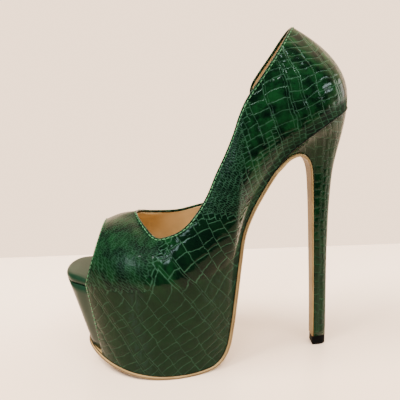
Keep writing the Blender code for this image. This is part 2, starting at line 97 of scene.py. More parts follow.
class Form(NamedTuple):
    """How a section swells between the rim and the upper edge."""

    station: float
    lean: float
    swell: float
    flare: float
    tuck: float


class Bed(NamedTuple):
    """Share of the wall at which the insole lies."""

    station: float
    share: float


class Stem(NamedTuple):
    """Front edge and back line of the heel at one level."""

    front_x: float
    front_z: float
    front_half: float
    back_x: float
    back_z: float


WALLS = [
    Wall(0, -159.2, 12.8, 0.0, -172.2, 60.5, 0.0, 3.8),
    Wall(1, -156.4, 12.1, 12.8, -168.5, 60.5, 14.0, 3.5),
    Wall(2, -148.5, 10.1, 24.0, -155.5, 60.5, 26.8, 2.6),
    Wall(3, -139.0, 7.5, 31.2, -143.5, 60.5, 33.4, 1.4),
    Wall(4, -127.0, 4.8, 36.2, -129.5, 60.4, 37.8, 0.6),
    Wall(5, -113.0, 2.9, 38.2, -114.5, 60.4, 39.6, 0.0),
    Wall(6, -99.0, 2.4, 37.4, -100.0, 61.0, 39.2, -0.3),
    Wall(7, -86.0, 2.5, 34.0, -87.5, 62.9, 36.4, -0.3),
    Wall(8, -75.0, 4.6, 29.6, -80.5, 64.9, 34.1, -0.2),
    Wall(9, -68.2, 12.5, 26.0, -75.6, 66.5, 32.3, 0.0),
    Wall(10, -64.8, 28.0, 24.6, -71.1, 68.5, 30.7, 0.0),
    Wall(11, -62.0, 48.0, 23.4, -66.7, 71.2, 29.1, 0.0),
    Wall(12, -59.3, 69.0, 22.0, -62.2, 76.6, 27.4, 0.0),
    Wall(13, -56.6, 86.5, 20.6, -57.6, 91.8, 25.2, 0.0),
    Wall(14, -51.2, 100.8, 19.4, -52.8, 106.2, 24.1, 0.0),
    Wall(15, -43.6, 114.8, 18.8, -46.0, 119.8, 23.4, 0.0),
    Wall(16, -36.2, 126.6, 19.0, -39.0, 131.5, 23.0, 0.0),
    Wall(17, -28.0, 137.0, 20.0, -30.8, 142.0, 22.8, 0.0),
    Wall(18, -19.0, 144.8, 20.8, -21.6, 150.0, 23.0, 0.0),
    Wall(19, -9.0, 152.0, 20.6, -11.0, 157.4, 22.3, 0.0),
    Wall(20, 0.0, 157.5, 18.0, -1.0, 163.0, 19.3, 0.0),
    Wall(21, 7.8, 161.8, 12.3, 7.5, 167.2, 13.0, 0.0),
    Wall(22, 11.8, 163.4, 0.0, 11.6, 168.8, 0.0, 0.0),
]
RIDGE = [
    Edge(2.0, -144.6, 33.00, 0.0),
    Edge(2.8, -138.0, 35.50, 0.0),
    Edge(3.6, -130.0, 37.96, 0.0),
    Edge(4.4, -122.8, 39.30, 0.0),
]
LATERAL_TOPLINE = [
    Edge(4.4, -122.8, 39.30, 0.0),
    Edge(4.7, -120.0, 37.10, 12.0),
    Edge(5.0, -116.0, 33.55, 19.0),
    Edge(5.3, -112.2, 30.22, 24.0),
    Edge(5.6, -108.8, 29.04, 27.0),
    Edge(6.0, -103.0, 30.30, 29.6),
    Edge(6.4, -97.0, 32.24, 31.2),
    Edge(6.8, -91.3, 35.68, 31.6),
    Edge(7.3, -85.8, 41.00, 31.0),
    Edge(8.0, -80.0, 48.30, 29.6),
    Edge(9.0, -73.5, 61.00, 28.5),
    Edge(10.0, -68.0, 70.30, 28.0),
    Edge(11.0, -63.3, 78.80, 27.6),
    Edge(12.0, -59.8, 83.40, 27.1),
    Edge(13.0, -56.5, 75.70, 26.6),
    Edge(14.0, -53.3, 66.60, 26.0),
    Edge(15.0, -50.0, 57.40, 25.2),
    Edge(16.0, -46.9, 49.70, 24.2),
    Edge(17.0, -43.9, 43.30, 23.0),
    Edge(18.0, -41.0, 39.30, 21.6),
    Edge(19.0, -37.6, 36.60, 19.4),
    Edge(20.0, -33.3, 36.90, 15.7),
    Edge(20.7, -29.4, 39.26, 11.0),
    Edge(21.4, -25.7, 42.16, 5.0),
    Edge(22.0, -23.8, 43.10, 0.0),
]
MEDIAL_TOPLINE = [
    Edge(4.4, -122.8, 39.30, 0.0),
    Edge(4.7, -120.0, 37.30, 12.0),
    Edge(5.0, -116.0, 35.00, 19.5),
    Edge(5.3, -112.2, 33.62, 24.0),
    Edge(5.6, -108.0, 32.74, 26.5),
    Edge(6.0, -101.5, 31.80, 29.0),
    Edge(6.4, -95.0, 31.24, 30.5),
    Edge(6.8, -88.5, 31.68, 31.0),
    Edge(7.3, -82.5, 32.10, 31.0),
    Edge(8.0, -76.5, 32.10, 30.4),
    Edge(9.0, -71.3, 31.30, 29.6),
    Edge(10.0, -67.6, 29.70, 29.0),
    Edge(11.0, -64.6, 28.20, 28.4),
    Edge(12.0, -62.0, 25.20, 27.8),
    Edge(13.0, -59.3, 14.00, 27.3),
    Edge(14.0, -55.3, 7.10, 26.7),
    Edge(15.0, -50.0, 3.80, 26.3),
    Edge(16.0, -45.6, 3.30, 26.2),
    Edge(16.5, -43.9, 5.75, 26.2),
    Edge(17.0, -43.2, 8.50, 26.0),
    Edge(17.5, -43.8, 13.00, 25.7),
    Edge(18.0, -45.2, 16.80, 25.1),
    Edge(18.5, -46.0, 19.90, 24.2),
    Edge(18.9, -44.6, 22.34, 23.0),
    Edge(19.3, -41.4, 25.32, 21.2),
    Edge(20.0, -34.4, 32.50, 15.8),
    Edge(20.7, -29.2, 38.26, 10.2),
    Edge(21.4, -25.4, 42.06, 4.7),
    Edge(22.0, -23.8, 43.10, 0.0),
]
FORMS = [
    Form(2.0, 0.10, 0.42, 1.0, 0.40),
    Form(4.4, 0.12, 0.42, 1.0, 0.42),
    Form(5.0, 0.15, 0.40, 0.82, 0.36),
    Form(5.6, 0.16, 0.36, 0.62, 0.33),
    Form(6.4, 0.18, 0.34, 0.42, 0.33),
    Form(8.0, 0.25, 0.33, 0.25, 0.33),
    Form(10.0, 0.32, 0.33, 0.18, 0.33),
    Form(12.0, 0.45, 0.30, 0.16, 0.33),
    Form(14.0, 0.50, 0.28, 0.16, 0.33),
    Form(16.0, 0.46, 0.28, 0.17, 0.33),
    Form(18.0, 0.32, 0.30, 0.22, 0.33),
    Form(19.0, 0.22, 0.32, 0.34, 0.33),
    Form(20.0, 0.14, 0.33, 0.52, 0.34),
    Form(21.0, 0.05, 0.35, 0.74, 0.36),
    Form(22.0, 0.00, 0.36, 0.88, 0.38),
]
BEDS = [
    Bed(0, 0.93),
    Bed(8, 0.93),
    Bed(9, 0.94),
    Bed(10, 0.95),
    Bed(11, 0.95),
    Bed(12, 0.90),
    Bed(12.5, 0.52),
    Bed(13, 0.08),
    Bed(13.4, 0.0),
    Bed(22, 0.0),
]
STEMS = [
    Stem(-33.4, 129.4, 18.9, 11.8, 163.1),
    Stem(-28.5, 134.0, 17.6, 11.1, 157.0),
    Stem(-23.0, 136.2, 15.0, 10.0, 150.0),
    Stem(-18.3, 136.1, 12.7, 8.6, 143.0),
    Stem(-14.2, 133.8, 10.6, 6.9, 135.5),
    Stem(-10.9, 129.0, 8.6, 5.3, 127.5),
    Stem(-9.2, 121.5, 7.2, 4.3, 119.0),
    Stem(-8.3, 109.0, 6.3, 3.6, 107.0),
    Stem(-7.5, 92.0, 5.7, 3.1, 92.0),
    Stem(-6.4, 63.0, 5.1, 3.1, 63.0),
    Stem(-5.4, 34.0, 4.6, 3.7, 34.0),
    Stem(-4.7, 6.8, 4.3, 4.2, 6.8),
]

# Stations of the peep, the throat, the platform's end, the heel's front and the back.
PEEP = 2.0
THROAT = 4.4
PLATFORM_END = 13.0
HEEL_START = 16.35
BACK = 22.0
# Share of the heel tip's length that lies before the tables' origin.
TIP_FRONT = 0.58
# Widths below this, in millimetres, count as closed.
TOUCH = 1e-6


def ease(low: float, high: float, value: np.ndarray | float) -> np.ndarray:
    """Smooth step.

    Args:
        low: Value at which the step starts.
        high: Value at which the step ends.
        value: Where to read it.

    Returns:
        0 at low, 1 at high, smooth between.
    """
    u = np.clip((np.asarray(value, dtype=float) - low) / (high - low), 0.0, 1.0)
    return u * u * (3.0 - 2.0 * u)


def unit(vectors: np.ndarray) -> np.ndarray:
    """Vectors scaled to length one, along the last axis."""
    return vectors / np.maximum(np.linalg.norm(vectors, axis=-1, keepdims=True), 1e-9)


def spread(*spans: tuple[float, float, int]) -> np.ndarray:
    """Keys of several spans in a row.

    Args:
        spans: Start, end and number of steps of each span.

    Returns:
        All keys, with the last end.
    """
    keys = [a + (b - a) * k / n for a, b, n in spans for k in range(n)]
    return np.array(keys + [spans[-1][1]])


def fall(low: float, high: float, value: np.ndarray | float) -> np.ndarray:
    """Smooth step from 1 at low to 0 at high."""
    return 1.0 - ease(low, high, value)


def lengths(points: np.ndarray, axis: int = 0) -> np.ndarray:
    """Length from the first point to each point.

    Args:
        points: Points of a line or a grid.
        axis: Axis that the line runs along.

    Returns:
        One length for each point.
    """
    steps = np.linalg.norm(np.diff(points, axis=axis), axis=-1)
    return np.insert(np.cumsum(steps, axis=axis), 0, 0.0, axis=axis)


def turned(across: np.ndarray, up: np.ndarray, turn: np.ndarray | float) -> Grid:
    """Flat coordinates turned by an angle in radians."""
    sin, cos = np.sin(turn), np.cos(turn)
    return np.stack([across * cos - up * sin, across * sin + up * cos], axis=-1)


class Curve:
    """Smooth curve through table rows; its ends can mirror for a round nose or back."""

    def __init__(
        self,
        keys: Sequence[float],
        rows: Sequence[Sequence[float]],
        mirror_start: Sequence[float] | None = None,
        mirror_end: Sequence[float] | None = None,
    ) -> None:
        """Keep the rows and work out the slopes.

        Args:
            keys: Key of each row.
            rows: Numbers of each row.
            mirror_start: Signs of the mirrored row before the first, if any.
            mirror_end: Signs of the mirrored row after the last, if any.
        """
        marks = [float(k) for k in keys]
        points = [np.array(r, dtype=float) for r in rows]
        if mirror_start is not None:
            marks.insert(0, 2 * marks[0] - marks[1])
            points.insert(0, points[1] * np.array(mirror_start))
        if mirror_end is not None:
            marks.append(2 * marks[-1] - marks[-2])
            points.append(points[-2] * np.array(mirror_end))
        self.keys = np.array(marks)
        self.rows = np.array(points)
        steps = np.diff(self.keys)[:, None]
        slopes = np.diff(self.rows, axis=0) / steps
        inner = (slopes[:-1] * steps[1:] + slopes[1:] * steps[:-1]) / (steps[1:] + steps[:-1])
        self.slopes = np.vstack([slopes[:1], inner, slopes[-1:]])

    def at(self, key: np.ndarray | float) -> np.ndarray:
        """Rows at the keys.

        Args:
            key: One key or many.

        Returns:
            One row for each key.
        """
        keys = np.atleast_1d(np.asarray(key, dtype=float))
        k = np.clip(np.searchsorted(self.keys, keys, side="right") - 1, 0, len(self.keys) - 2)
        span = (self.keys[k + 1] - self.keys[k])[:, None]
        u = (keys - self.keys[k])[:, None] / span
        return (
            (2 * u**3 - 3 * u**2 + 1) * self.rows[k]
            + (u**3 - 2 * u**2 + u) * span * self.slopes[k]
            + (3 * u**2 - 2 * u**3) * self.rows[k + 1]
            + (u**3 - u**2) * span * self.slopes[k + 1]
        )


@dataclass
class Last:
    """Foot form that all the leather follows, in millimetres about the heel tip.

    A pair whose name ends in _at is the start and the end of a fade, in stations.
    """

    probe: float = 0.05
    ridge_blend: float = 2.0
    back_turn_at: Span = (15.0, 19.0)
    bed_limit: float = 0.95
    foot: Curve = field(init=False)
    rim: Curve = field(init=False)
    centre: Curve = field(init=False)
    bed_share: Curve = field(init=False)
    form: Curve = field(init=False)
    ridge: Curve = field(init=False)
    toplines: dict[Side, Curve] = field(init=False)

    def __post_init__(self) -> None:
        """Make the curves from the tables."""
        stations = [w.station for w in WALLS]
        round_ends = (1, 1, -1)
        self.foot = Curve(stations, [w[1:4] for w in WALLS], round_ends, round_ends)
        self.rim = Curve(stations, [w[4:7] for w in WALLS], round_ends, round_ends)
        self.centre = Curve(stations, [(w.centre,) for w in WALLS], (1,), (1,))
        self.bed_share = Curve([b.station for b in BEDS], [(b.share,) for b in BEDS])
        self.form = Curve([f.station for f in FORMS], [f[1:] for f in FORMS])
        self.ridge = self._edge(RIDGE, None)
        self.toplines = {
            Side.LATERAL: self._edge(LATERAL_TOPLINE, round_ends),
            Side.MEDIAL: self._edge(MEDIAL_TOPLINE, round_ends),
        }

    def _edge(self, rows: Sequence[Edge], ends: Sequence[float] | None) -> Curve:
        """Curve of an upper edge, whose heights stand on the rim."""
        points = [(e.x, float(self.rim.at(e.station)[0, 1]) + e.over, e.half) for e in rows]
        return Curve([e.station for e in rows], points, ends, ends)

    def place(self, rows: np.ndarray, stations: np.ndarray, side: Side) -> np.ndarray:
        """Points on one side from (x, z, half) rows."""
        across = self.centre.at(stations)[:, 0] + side.value * rows[:, 2]
        return np.stack([rows[:, 0], across, rows[:, 1]], axis=1)

    def outward(self, curve: Curve, stations: np.ndarray, side: Side) -> np.ndarray:
        """Level directions away from the foot along a plan outline."""
        before = self.place(curve.at(stations - self.probe), stations - self.probe, side)
        after = self.place(curve.at(stations + self.probe), stations + self.probe, side)
        step = (after - before) * side.value
        return unit(np.stack([-step[:, 1], step[:, 0], np.zeros(len(step))], axis=1))

    def top(self, stations: np.ndarray, side: Side) -> np.ndarray:
        """Points of the upper edge, on the ridge of the vamp before the throat."""
        middle = float(self.centre.at(THROAT)[0, 0])
        ridge = self.place(self.ridge.at(np.minimum(stations, THROAT)), stations, side)
        ridge[:, 1] = middle
        edge = self.place(self.toplines[side].at(np.maximum(stations, THROAT)), stations, side)
        own = self.centre.at(stations)[:, 0]
        edge[:, 1] += (middle - own) * fall(THROAT, THROAT + self.ridge_blend, stations)
        return np.where((stations < THROAT)[:, None], ridge, edge)

    def sections(
        self, stations: np.ndarray, side: Side, steps: tuple[int, int], tops: np.ndarray
    ) -> Grid:
        """Outer skin of the upper on one side.

        Args:
            stations: Stations of the columns.
            side: Side of the shoe.
            steps: Number of rows on the straight wall and above it.
            tops: Point of the upper edge for each station.

        Returns:
            Points as columns, rows from the sole edge up, and coordinates.
        """
        foot = self.place(self.foot.at(stations), stations, side)
        rim = self.place(self.rim.at(stations), stations, side)
        lean, swell, flare, tuck = (self.form.at(stations)[:, k : k + 1] for k in range(4))
        blend = ease(*self.back_turn_at, stations)[:, None]
        across = np.tile(np.array([0.0, float(side.value), 0.0]), (len(stations), 1))
        away = unit(across * (1.0 - blend) + self.outward(self.rim, stations, side) * blend)
        run = tops - rim
        reach = np.linalg.norm(run, axis=1, keepdims=True)
        climb = unit(run - away * (run * away).sum(axis=1, keepdims=True))
        flare = np.minimum(flare, 1.0)
        one = rim + (away * lean + climb * np.sqrt(1.0 - lean**2)) * swell * reach
        two = tops + (away * flare - climb * np.sqrt(1.0 - flare**2)) * tuck * reach
        low = [foot + (rim - foot) * (k / steps[0]) for k in range(steps[0])]
        high = []
        for k in range(steps[1] + 1):
            u = k / steps[1]
            w = 1.0 - u
            high.append(w**3 * rim + 3 * w * w * u * one + 3 * w * u * u * two + u**3 * tops)
        return np.stack(low + high, axis=1)

    def bed(self, stations: np.ndarray) -> np.ndarray:
        """Rows between foot and rim where the insole lies, as (x, z, half)."""
        share = np.clip(self.bed_share.at(stations), 0.0, self.bed_limit)
        foot = self.foot.at(stations)
        return foot + (self.rim.at(stations) - foot) * share


class Origin:
    """Place of the tables' origin in the row frame, read from the heel tip's solid."""

    def __init__(self) -> None:
        """Read the heel tip's box."""
        low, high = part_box("heel_tip")
        front = low.x + (high.x - low.x) * TIP_FRONT
        self.shift = np.array([front, (low.y + high.y) / 2.0, low.z])

    def to_frame(self, points: np.ndarray) -> np.ndarray:
        """Points in the row frame, in metres."""
        return points * MM + self.shift


def link_mesh(name: str, mesh: bpy.types.Mesh, material: bpy.types.Material) -> bpy.types.Object:
    """Object of a mesh, with its material and smooth faces.

    Args:
        name: Name of the piece.
        mesh: Its mesh, in the row frame.
        material: Its material.

    Returns:
        The linked object.
    """
    thing = bpy.data.objects.new(name, mesh)
    bpy.context.scene.collection.objects.link(thing)
    mesh.materials.append(material)
    mesh.polygons.foreach_set("use_smooth", [True] * len(mesh.polygons))
    return thing


def face_outwards(mesh: bpy.types.Mesh) -> bpy.types.Mesh:
    """The closed mesh with its faces turned outwards."""
    bm = bmesh.new()
    bm.from_mesh(mesh)
    bmesh.ops.recalc_face_normals(bm, faces=bm.faces[:])
    bm.to_mesh(mesh)
    bm.free()
    return mesh


@dataclass
class Patch:
    """Grid of points with pattern coordinates and marks, as one part of a mesh."""

    points: Grid
    pattern: Grid
    marks: dict[str, np.ndarray | float] = field(default_factory=dict)
    flip: bool = False


def build_mesh(name: str, patches: Sequence[Patch], origin: Origin, weld: float = 2e-6) -> bpy.types.Mesh:
    """One mesh from several grids whose touching borders are welded.

    Args:
        name: Name of the mesh.
        patches: The grids, in millimetres.
        origin: Place of the tables in the row frame.
        weld: Distance below which points join, in metres.

    Returns:
        The mesh, with a UV map named pattern and one point attribute for each mark.
    """
    vertices: list[np.ndarray] = []
    faces: list[tuple[int, ...]] = []
    corners: list[np.ndarray] = []
    names = sorted({n for p in patches for n in p.marks})
    marks: dict[str, list[np.ndarray]] = {n: [] for n in names}
    start = 0
    for patch in patches:
        columns, rows = patch.points.shape[:2]
        vertices.append(origin.to_frame(patch.points.reshape(-1, 3)))
        pattern = patch.pattern.reshape(-1, 2)
        for n in names:
            value = np.broadcast_to(patch.marks.get(n, 0.0), (columns, rows))
            marks[n].append(value.reshape(-1))
        place = np.arange(columns * rows).reshape(columns, rows)
        loop = np.stack([place[:-1, :-1], place[1:, :-1], place[1:, 1:], place[:-1, 1:]], axis=-1)
        loop = loop.reshape(-1, 4)
        if patch.flip:
            loop = loop[:, ::-1]
        faces.extend(map(tuple, (loop + start).tolist()))
        corners.append(pattern[loop.reshape(-1)])
        start += columns * rows
    mesh = bpy.data.meshes.new(name)
    mesh.from_pydata(np.concatenate(vertices).tolist(), [], faces)
    layer = mesh.uv_layers.new(name="pattern")
    layer.data.foreach_set("uv", np.concatenate(corners).astype(np.float32).ravel())
    for n in names:
        attribute = mesh.attributes.new(n, "FLOAT", "POINT")
        attribute.data.foreach_set("value", np.concatenate(marks[n]).astype(np.float32))
    bm = bmesh.new()
    bm.from_mesh(mesh)
    bmesh.ops.remove_doubles(bm, verts=bm.verts[:], dist=weld)
    bmesh.ops.dissolve_degenerate(bm, edges=bm.edges[:], dist=weld)
    bm.to_mesh(mesh)
    bm.free()
    return mesh


class Wire:
    """A socket that takes part in sums."""

    def __init__(self, graph: Nodes, socket: bpy.types.NodeSocket) -> None:
        """Keep the nodes and the socket."""
        self.graph = graph
        self.socket = socket

    def _sum(self, operation: str, *values: Wire | float, clamp: bool = False) -> Wire:
        """Add a Math node."""
        settings = {"operation": operation, "use_clamp": clamp}
        node = self.graph.node("ShaderNodeMath", settings, dict(enumerate(values)))
        return Wire(self.graph, node.outputs[0])

    def __add__(self, other: Wire | float) -> Wire:
        """Sum."""
        return self._sum("ADD", self, other)

    __radd__ = __add__

    def __mul__(self, other: Wire | float) -> Wire:
        """Product."""
        return self._sum("MULTIPLY", self, other)

    __rmul__ = __mul__

    def __sub__(self, other: Wire | float) -> Wire:
        """Difference."""
        return self._sum("SUBTRACT", self, other)

    def __rsub__(self, other: Wire | float) -> Wire:
        """Difference from a number."""
        return self._sum("SUBTRACT", other, self)

    def __truediv__(self, other: Wire | float) -> Wire:
        """Quotient."""
        return self._sum("DIVIDE", self, other)

    def at_least(self, other: Wire | float) -> Wire:
        """The larger of the two."""
        return self._sum("MAXIMUM", self, other)

    def at_most(self, other: Wire | float) -> Wire:
        """The smaller of the two."""
        return self._sum("MINIMUM", self, other)

    def size(self) -> Wire:
        """The number without its sign."""
        return self._sum("ABSOLUTE", self)

    def decay(self, reach: float) -> Wire:
        """1 at zero, falling off over the reach."""
        return self._sum("POWER", math.exp(-1.0), self / reach)

    def soft_least(self, other: Wire | float, reach: float) -> Wire:
        """The smaller of the two, rounded where they meet."""
        return self._sum("SMOOTH_MIN", self, other, reach)

    def step(self, low: float, high: float) -> Wire:
        """Smooth step from 0 at low to 1 at high."""
        settings = {"interpolation_type": "SMOOTHSTEP"}
        values = {"Value": self, "From Min": low, "From Max": high}
        node = self.graph.node("ShaderNodeMapRange", settings, values)
        return Wire(self.graph, node.outputs["Result"])


class Nodes:
    """Nodes of one tree, each added from its type, settings and values."""

    def __init__(self, tree: bpy.types.NodeTree) -> None:
        """Empty the tree."""
        self.tree = tree
        tree.nodes.clear()

    def feed(self, socket: bpy.types.NodeSocket, value: object) -> None:
        """Link a wire to a socket, or set the socket's value."""
        if isinstance(value, Wire):
            self.tree.links.new(value.socket, socket)
        else:
            socket.default_value = value

    def node(
        self, kind: str, settings: dict[str, object], values: dict[object, object]
    ) -> bpy.types.Node:
        """Add a node.

        Args:
            kind: Blender's node type.
            settings: Its own settings, set first.
            values: Value or wire of each socket, by name or index.

        Returns:
            The node.
        """
        made = self.tree.nodes.new(kind)
        for key, value in settings.items():
            setattr(made, key, value)
        for key, value in values.items():
            self.feed(made.inputs[key], value)
        return made

    def wire(self, node: bpy.types.Node, output: str | int = 0) -> Wire:
        """An output of a node."""
        return Wire(self, node.outputs[output])


class Graph(Nodes):
    """A material's nodes, round one Principled shader."""

    def __init__(self, name: str) -> None:
        """Make the material.

        Args:
            name: Name of the material.
        """
        self.material = bpy.data.materials.new(name)
        self.material.use_nodes = True
        super().__init__(self.material.node_tree)
        self.shader = self.node("ShaderNodeBsdfPrincipled", {}, {})
        self.node("ShaderNodeOutputMaterial", {}, {"Surface": Wire(self, self.shader.outputs[0])})

    def mark(self, name: str) -> Wire:
        """A point attribute."""
        return self.wire(self.node("ShaderNodeAttribute", {"attribute_name": name}, {}), "Fac")

    def pattern(self) -> tuple[Wire, Wire]:
        """The two pattern coordinates, in millimetres."""
        uv = self.wire(self.node("ShaderNodeUVMap", {"uv_map": "pattern"}, {}))
        parts = self.node("ShaderNodeSeparateXYZ", {}, {0: uv})
        return self.wire(parts, 0), self.wire(parts, 1)

    def join(self, x: Wire | float, y: Wire | float, z: Wire | float = 0.0) -> Wire:
        """A vector from three numbers."""
        return self.wire(self.node("ShaderNodeCombineXYZ", {}, {0: x, 1: y, 2: z}))

    def noise(self, place: Wire, scale: float, detail: float = 2.0, rough: float = 0.5) -> Wire:
        """Noise from 0 to 1."""
        values = {"Vector": place, "Scale": scale, "Detail": detail, "Roughness": rough}
        return self.wire(self.node("ShaderNodeTexNoise", {"noise_dimensions": "3D"}, values), 0)

    def blend(self, share: Wire | float, low: object, high: object) -> Wire:
        """Colour from low to high by a share."""
        settings = {"data_type": "RGBA", "blend_type": "MIX"}
        node = self.node("ShaderNodeMix", settings, {0: share, 6: low, 7: high})
        return self.wire(node, 2)

    def cells(self, place: Wire, unevenness: float, flat: bool = False) -> tuple[Wire, Wire, Wire]:
        """Add cells that are about one unit wide.

        Args:
            place: Coordinate along a row, or a vector where the cells are flat.
            unevenness: 0 for even cells, 1 for the most uneven ones.
            flat: Whether the cells spread over a plane.

        Returns:
            Distance to the nearest border, and two random numbers for each cell.
        """
        key, dimensions = ("Vector", "2D") if flat else ("W", "1D")
        values = {key: place, "Scale": 1.0, "Randomness": unevenness}
        body, border = (
            self.node("ShaderNodeTexVoronoi", {"voronoi_dimensions": dimensions, "feature": feature}, values)
            for feature in ("F1", "DISTANCE_TO_EDGE")
        )
        numbers = self.node("ShaderNodeSeparateColor", {}, {0: self.wire(body, "Color")})
        return self.wire(border, "Distance"), self.wire(numbers, 0), self.wire(numbers, 1)

    def bump(self, height: Wire, distance: float) -> Wire:
        """Normal bumped by a height."""
        values = {"Height": height, "Distance": distance, "Strength": 1.0}
        return self.wire(self.node("ShaderNodeBump", {}, values))

    def dress(self, **values: object) -> bpy.types.Material:
        """Set the shader's sockets.

        Args:
            values: Value or wire of each socket, its name with underscores for spaces.

        Returns:
            The material.
        """
        for key, value in values.items():
            self.feed(self.shader.inputs[key.replace("_", " ")], value)
        return self.material


@dataclass(frozen=True)
class Crackle:
    """One size of embossed scale: rows of cells of uneven length.

    Lengths are in millimetres. Some rows have a second groove beside their border, at the
    distance twin.
    """

    row: float
    cell: float
    unevenness: float
    seed: float
    twin: float = 1.5
    twin_share: float = 0.68
    twin_faint: float = 0.12
    twin_hide: float = 20.0
    row_shift: float = 37.0
    corner: float = 0.5

    def build(self, graph: Graph, across: Wire, along: Wire) -> tuple[Wire, Wire]:
        """Add the cells.

        Args:
            graph: Nodes to add to.
            across: Coordinate across the rows, in millimetres.
            along: Coordinate along the rows, in millimetres.

        Returns:
            Distance to the nearest groove in millimetres, and a random number for each cell.
        """
        row_edge, number, _ = graph.cells(across / self.row + self.seed, self.unevenness)
        cell_edge, _, chance = graph.cells(along / self.cell + number * self.row_shift, self.unevenness)
        single = row_edge * self.row
        without = (self.twin_share - number).at_least(0.0) * self.twin_hide
        double = (single - self.twin).size() + without
        groove = single.soft_least(cell_edge * self.cell, self.corner)
        return groove.at_most(double + self.twin_faint), chance


@dataclass(frozen=True)
class Pebble:
    """Fine scales: a web of small uneven cells."""

    length: float
    width: float
    seed: float
    unevenness: float = 0.72

    def build(self, graph: Graph, across: Wire, along: Wire) -> tuple[Wire, Wire]:
        """Add the cells.

        Args:
            graph: Nodes to add to.
            across: Coordinate across the rows, in millimetres.
            along: Coordinate along the rows, in millimetres.

        Returns:
            Distance to the nearest groove in millimetres, and a random number for each cell.
        """
        place = graph.join(along / self.length + self.seed, across / self.width)
        edge, _, chance = graph.cells(place, self.unevenness, flat=True)
        return edge * self.width, chance


@dataclass(frozen=True)
class CrocPatent:
    """Glossy green leather embossed with scales.

    It reads four marks of the mesh. Fineness is 0 for large, 1 for small and 2 for tiny scales;
    shade darkens the base colour, and in the middle of the side this is painted shade; faint weakens the
    lines and the mottle; dull takes the gloss away.
    """

    name: str
    deep: Colour = (0.0007, 0.0040, 0.0022, 1.0)
    green: Colour = (0.0030, 0.0250, 0.0070, 1.0)
    groove: Colour = (0.0140, 0.0440, 0.0250, 1.0)
    large: Crackle = Crackle(10.2, 5.6, 0.5, 3.1)
    small: Crackle = Crackle(4.2, 3.0, 0.7, 11.3, 40.0)
    tiny: Pebble = Pebble(2.7, 1.15, 23.7)
    angle: float = -57.0
    tiny_angle: float = 74.0
    tiny_thin: float = 1.6
    wander: float = 11.0
    wobble: float = 2.0
    ragged: float = 1.3
    hide: float = 9.0
    large_end: float = 0.55
    small_start: float = 0.45
    small_end: float = 1.5
    tiny_start: float = 1.4
    groove_start: float = 0.06
    groove_end: float = 0.40
    groove_rough: float = 0.12
    dome: float = 0.9
    depth: float = 0.20
    gloss: float = 0.09
    tiny_gloss: float = 0.14
    tiny_fade: float = 0.62
    tiny_calm: float = 0.45
    faint_fade: float = 0.7
    faint_tone: float = 0.6
    worn: float = 0.7
    coat: float = 0.06

    def _turned(self, x: Wire, z: Wire, angle: float) -> tuple[Wire, Wire]:
        """Coordinates along and across the rows of scales."""
        turn = math.radians(angle)
        along = x * math.cos(turn) + z * math.sin(turn)
        across = z * math.cos(turn) - x * math.sin(turn)
        return along, across

    def _bent(self, g: Graph, u: Wire, v: Wire) -> tuple[Wire, Wire]:
        """Pattern coordinates that wander, so that no row is straight."""
        place = g.join(u, v)
        x, z = u, v
        for scale, detail, reach in ((0.03, 1.0, self.wander), (0.17, 2.0, self.wobble)):
            values = {"Vector": place, "Scale": scale, "Detail": detail}
            cloud = g.node("ShaderNodeTexNoise", {"noise_dimensions": "3D"}, values)
            parts = g.node("ShaderNodeSeparateColor", {}, {0: g.wire(cloud, "Color")})
            x = x + (g.wire(parts, 0) - 0.5) * reach
            z = z + (g.wire(parts, 1) - 0.5) * reach
        return x, z

    def _scales(self, g: Graph, x: Wire, z: Wire, fineness: Wire) -> tuple[Wire, Wire]:
        """Distance to the nearest groove of the size that shows, and a random number."""
        along, across = self._turned(x, z, self.angle)
        ridge_along, ridge_across = self._turned(x, z, self.tiny_angle)
        large, large_chance = self.large.build(g, across, along)
        small, small_chance = self.small.build(g, across, along)
        tiny, tiny_chance = self.tiny.build(g, ridge_along, ridge_across)
        large = large + (fineness - self.large_end).at_least(0.0) * self.hide
        small = small + (self.small_start - fineness).at_least(0.0) * self.hide
        small = small + (fineness - self.small_end).at_least(0.0) * self.hide
        tiny = tiny * self.tiny_thin + (self.tiny_start - fineness).at_least(0.0) * self.hide
        chance = large_chance * 0.5 + small_chance * 0.25 + tiny_chance * 0.25
        return large.at_most(small).at_most(tiny), chance

    def material(self) -> bpy.types.Material:
        """Build the material."""
        g = Graph(self.name)
        u, v = g.pattern()
        place = g.join(u, v)
        x, z = self._bent(g, u, v)
        shade, faint, dull = (g.mark(n) for n in ("shade", "faint", "dull"))
        mark = g.mark("fineness")
        ragged = (g.noise(place, 0.13) - 0.5) * self.ragged
        fineness = mark + ragged * (mark * (2.0 - mark)).at_least(0.0)
        fine = (fineness - 1.0).at_least(0.0)
        edge, chance = self._scales(g, x, z, fineness)

        line = 1.0 - edge.step(self.groove_start, self.groove_end)
        patchy = g.noise(place, 0.22).step(0.35, 0.6) * 0.55 + 0.45
        strength = patchy * (1.0 - fine * self.tiny_fade) * (1.0 - faint * self.faint_fade)
        mottle = g.noise(place, 0.11, 4.0, 0.55).step(0.36, 0.66)
        tone = mottle * (chance * 0.6 + 0.55) * (1.0 - faint) + faint * self.faint_tone
        # shade darkens the base colour; in the middle of the side this is painted shade.
        skin = g.blend(tone.at_most(1.0) * (1.0 - shade), self.deep, self.green)

        dome = 1.0 - edge.decay(self.dome)
        pebble = g.noise(place, 0.9, 3.0, 0.6)
        buckle = g.noise(place, 0.2, 1.0)
        wave = g.noise(place, 0.07, 1.0)
        domed = (dome + pebble * 0.12) * (1.0 - fine * self.tiny_calm)
        height = domed + buckle * 0.9 + wave * 1.6
        return g.dress(
            Base_Color=g.blend(line * strength, skin, self.groove),
            Roughness=line * self.groove_rough + self.gloss + fine * self.tiny_gloss + dull * self.worn,
            Normal=g.bump(height, self.depth * MM),
            Specular_IOR_Level=0.085,
            Specular_Tint=(0.78, 1.0, 0.86, 1.0),
            Coat_Weight=self.coat - dull * self.coat,
            Coat_Roughness=0.03,
            Coat_IOR=1.31,
        )


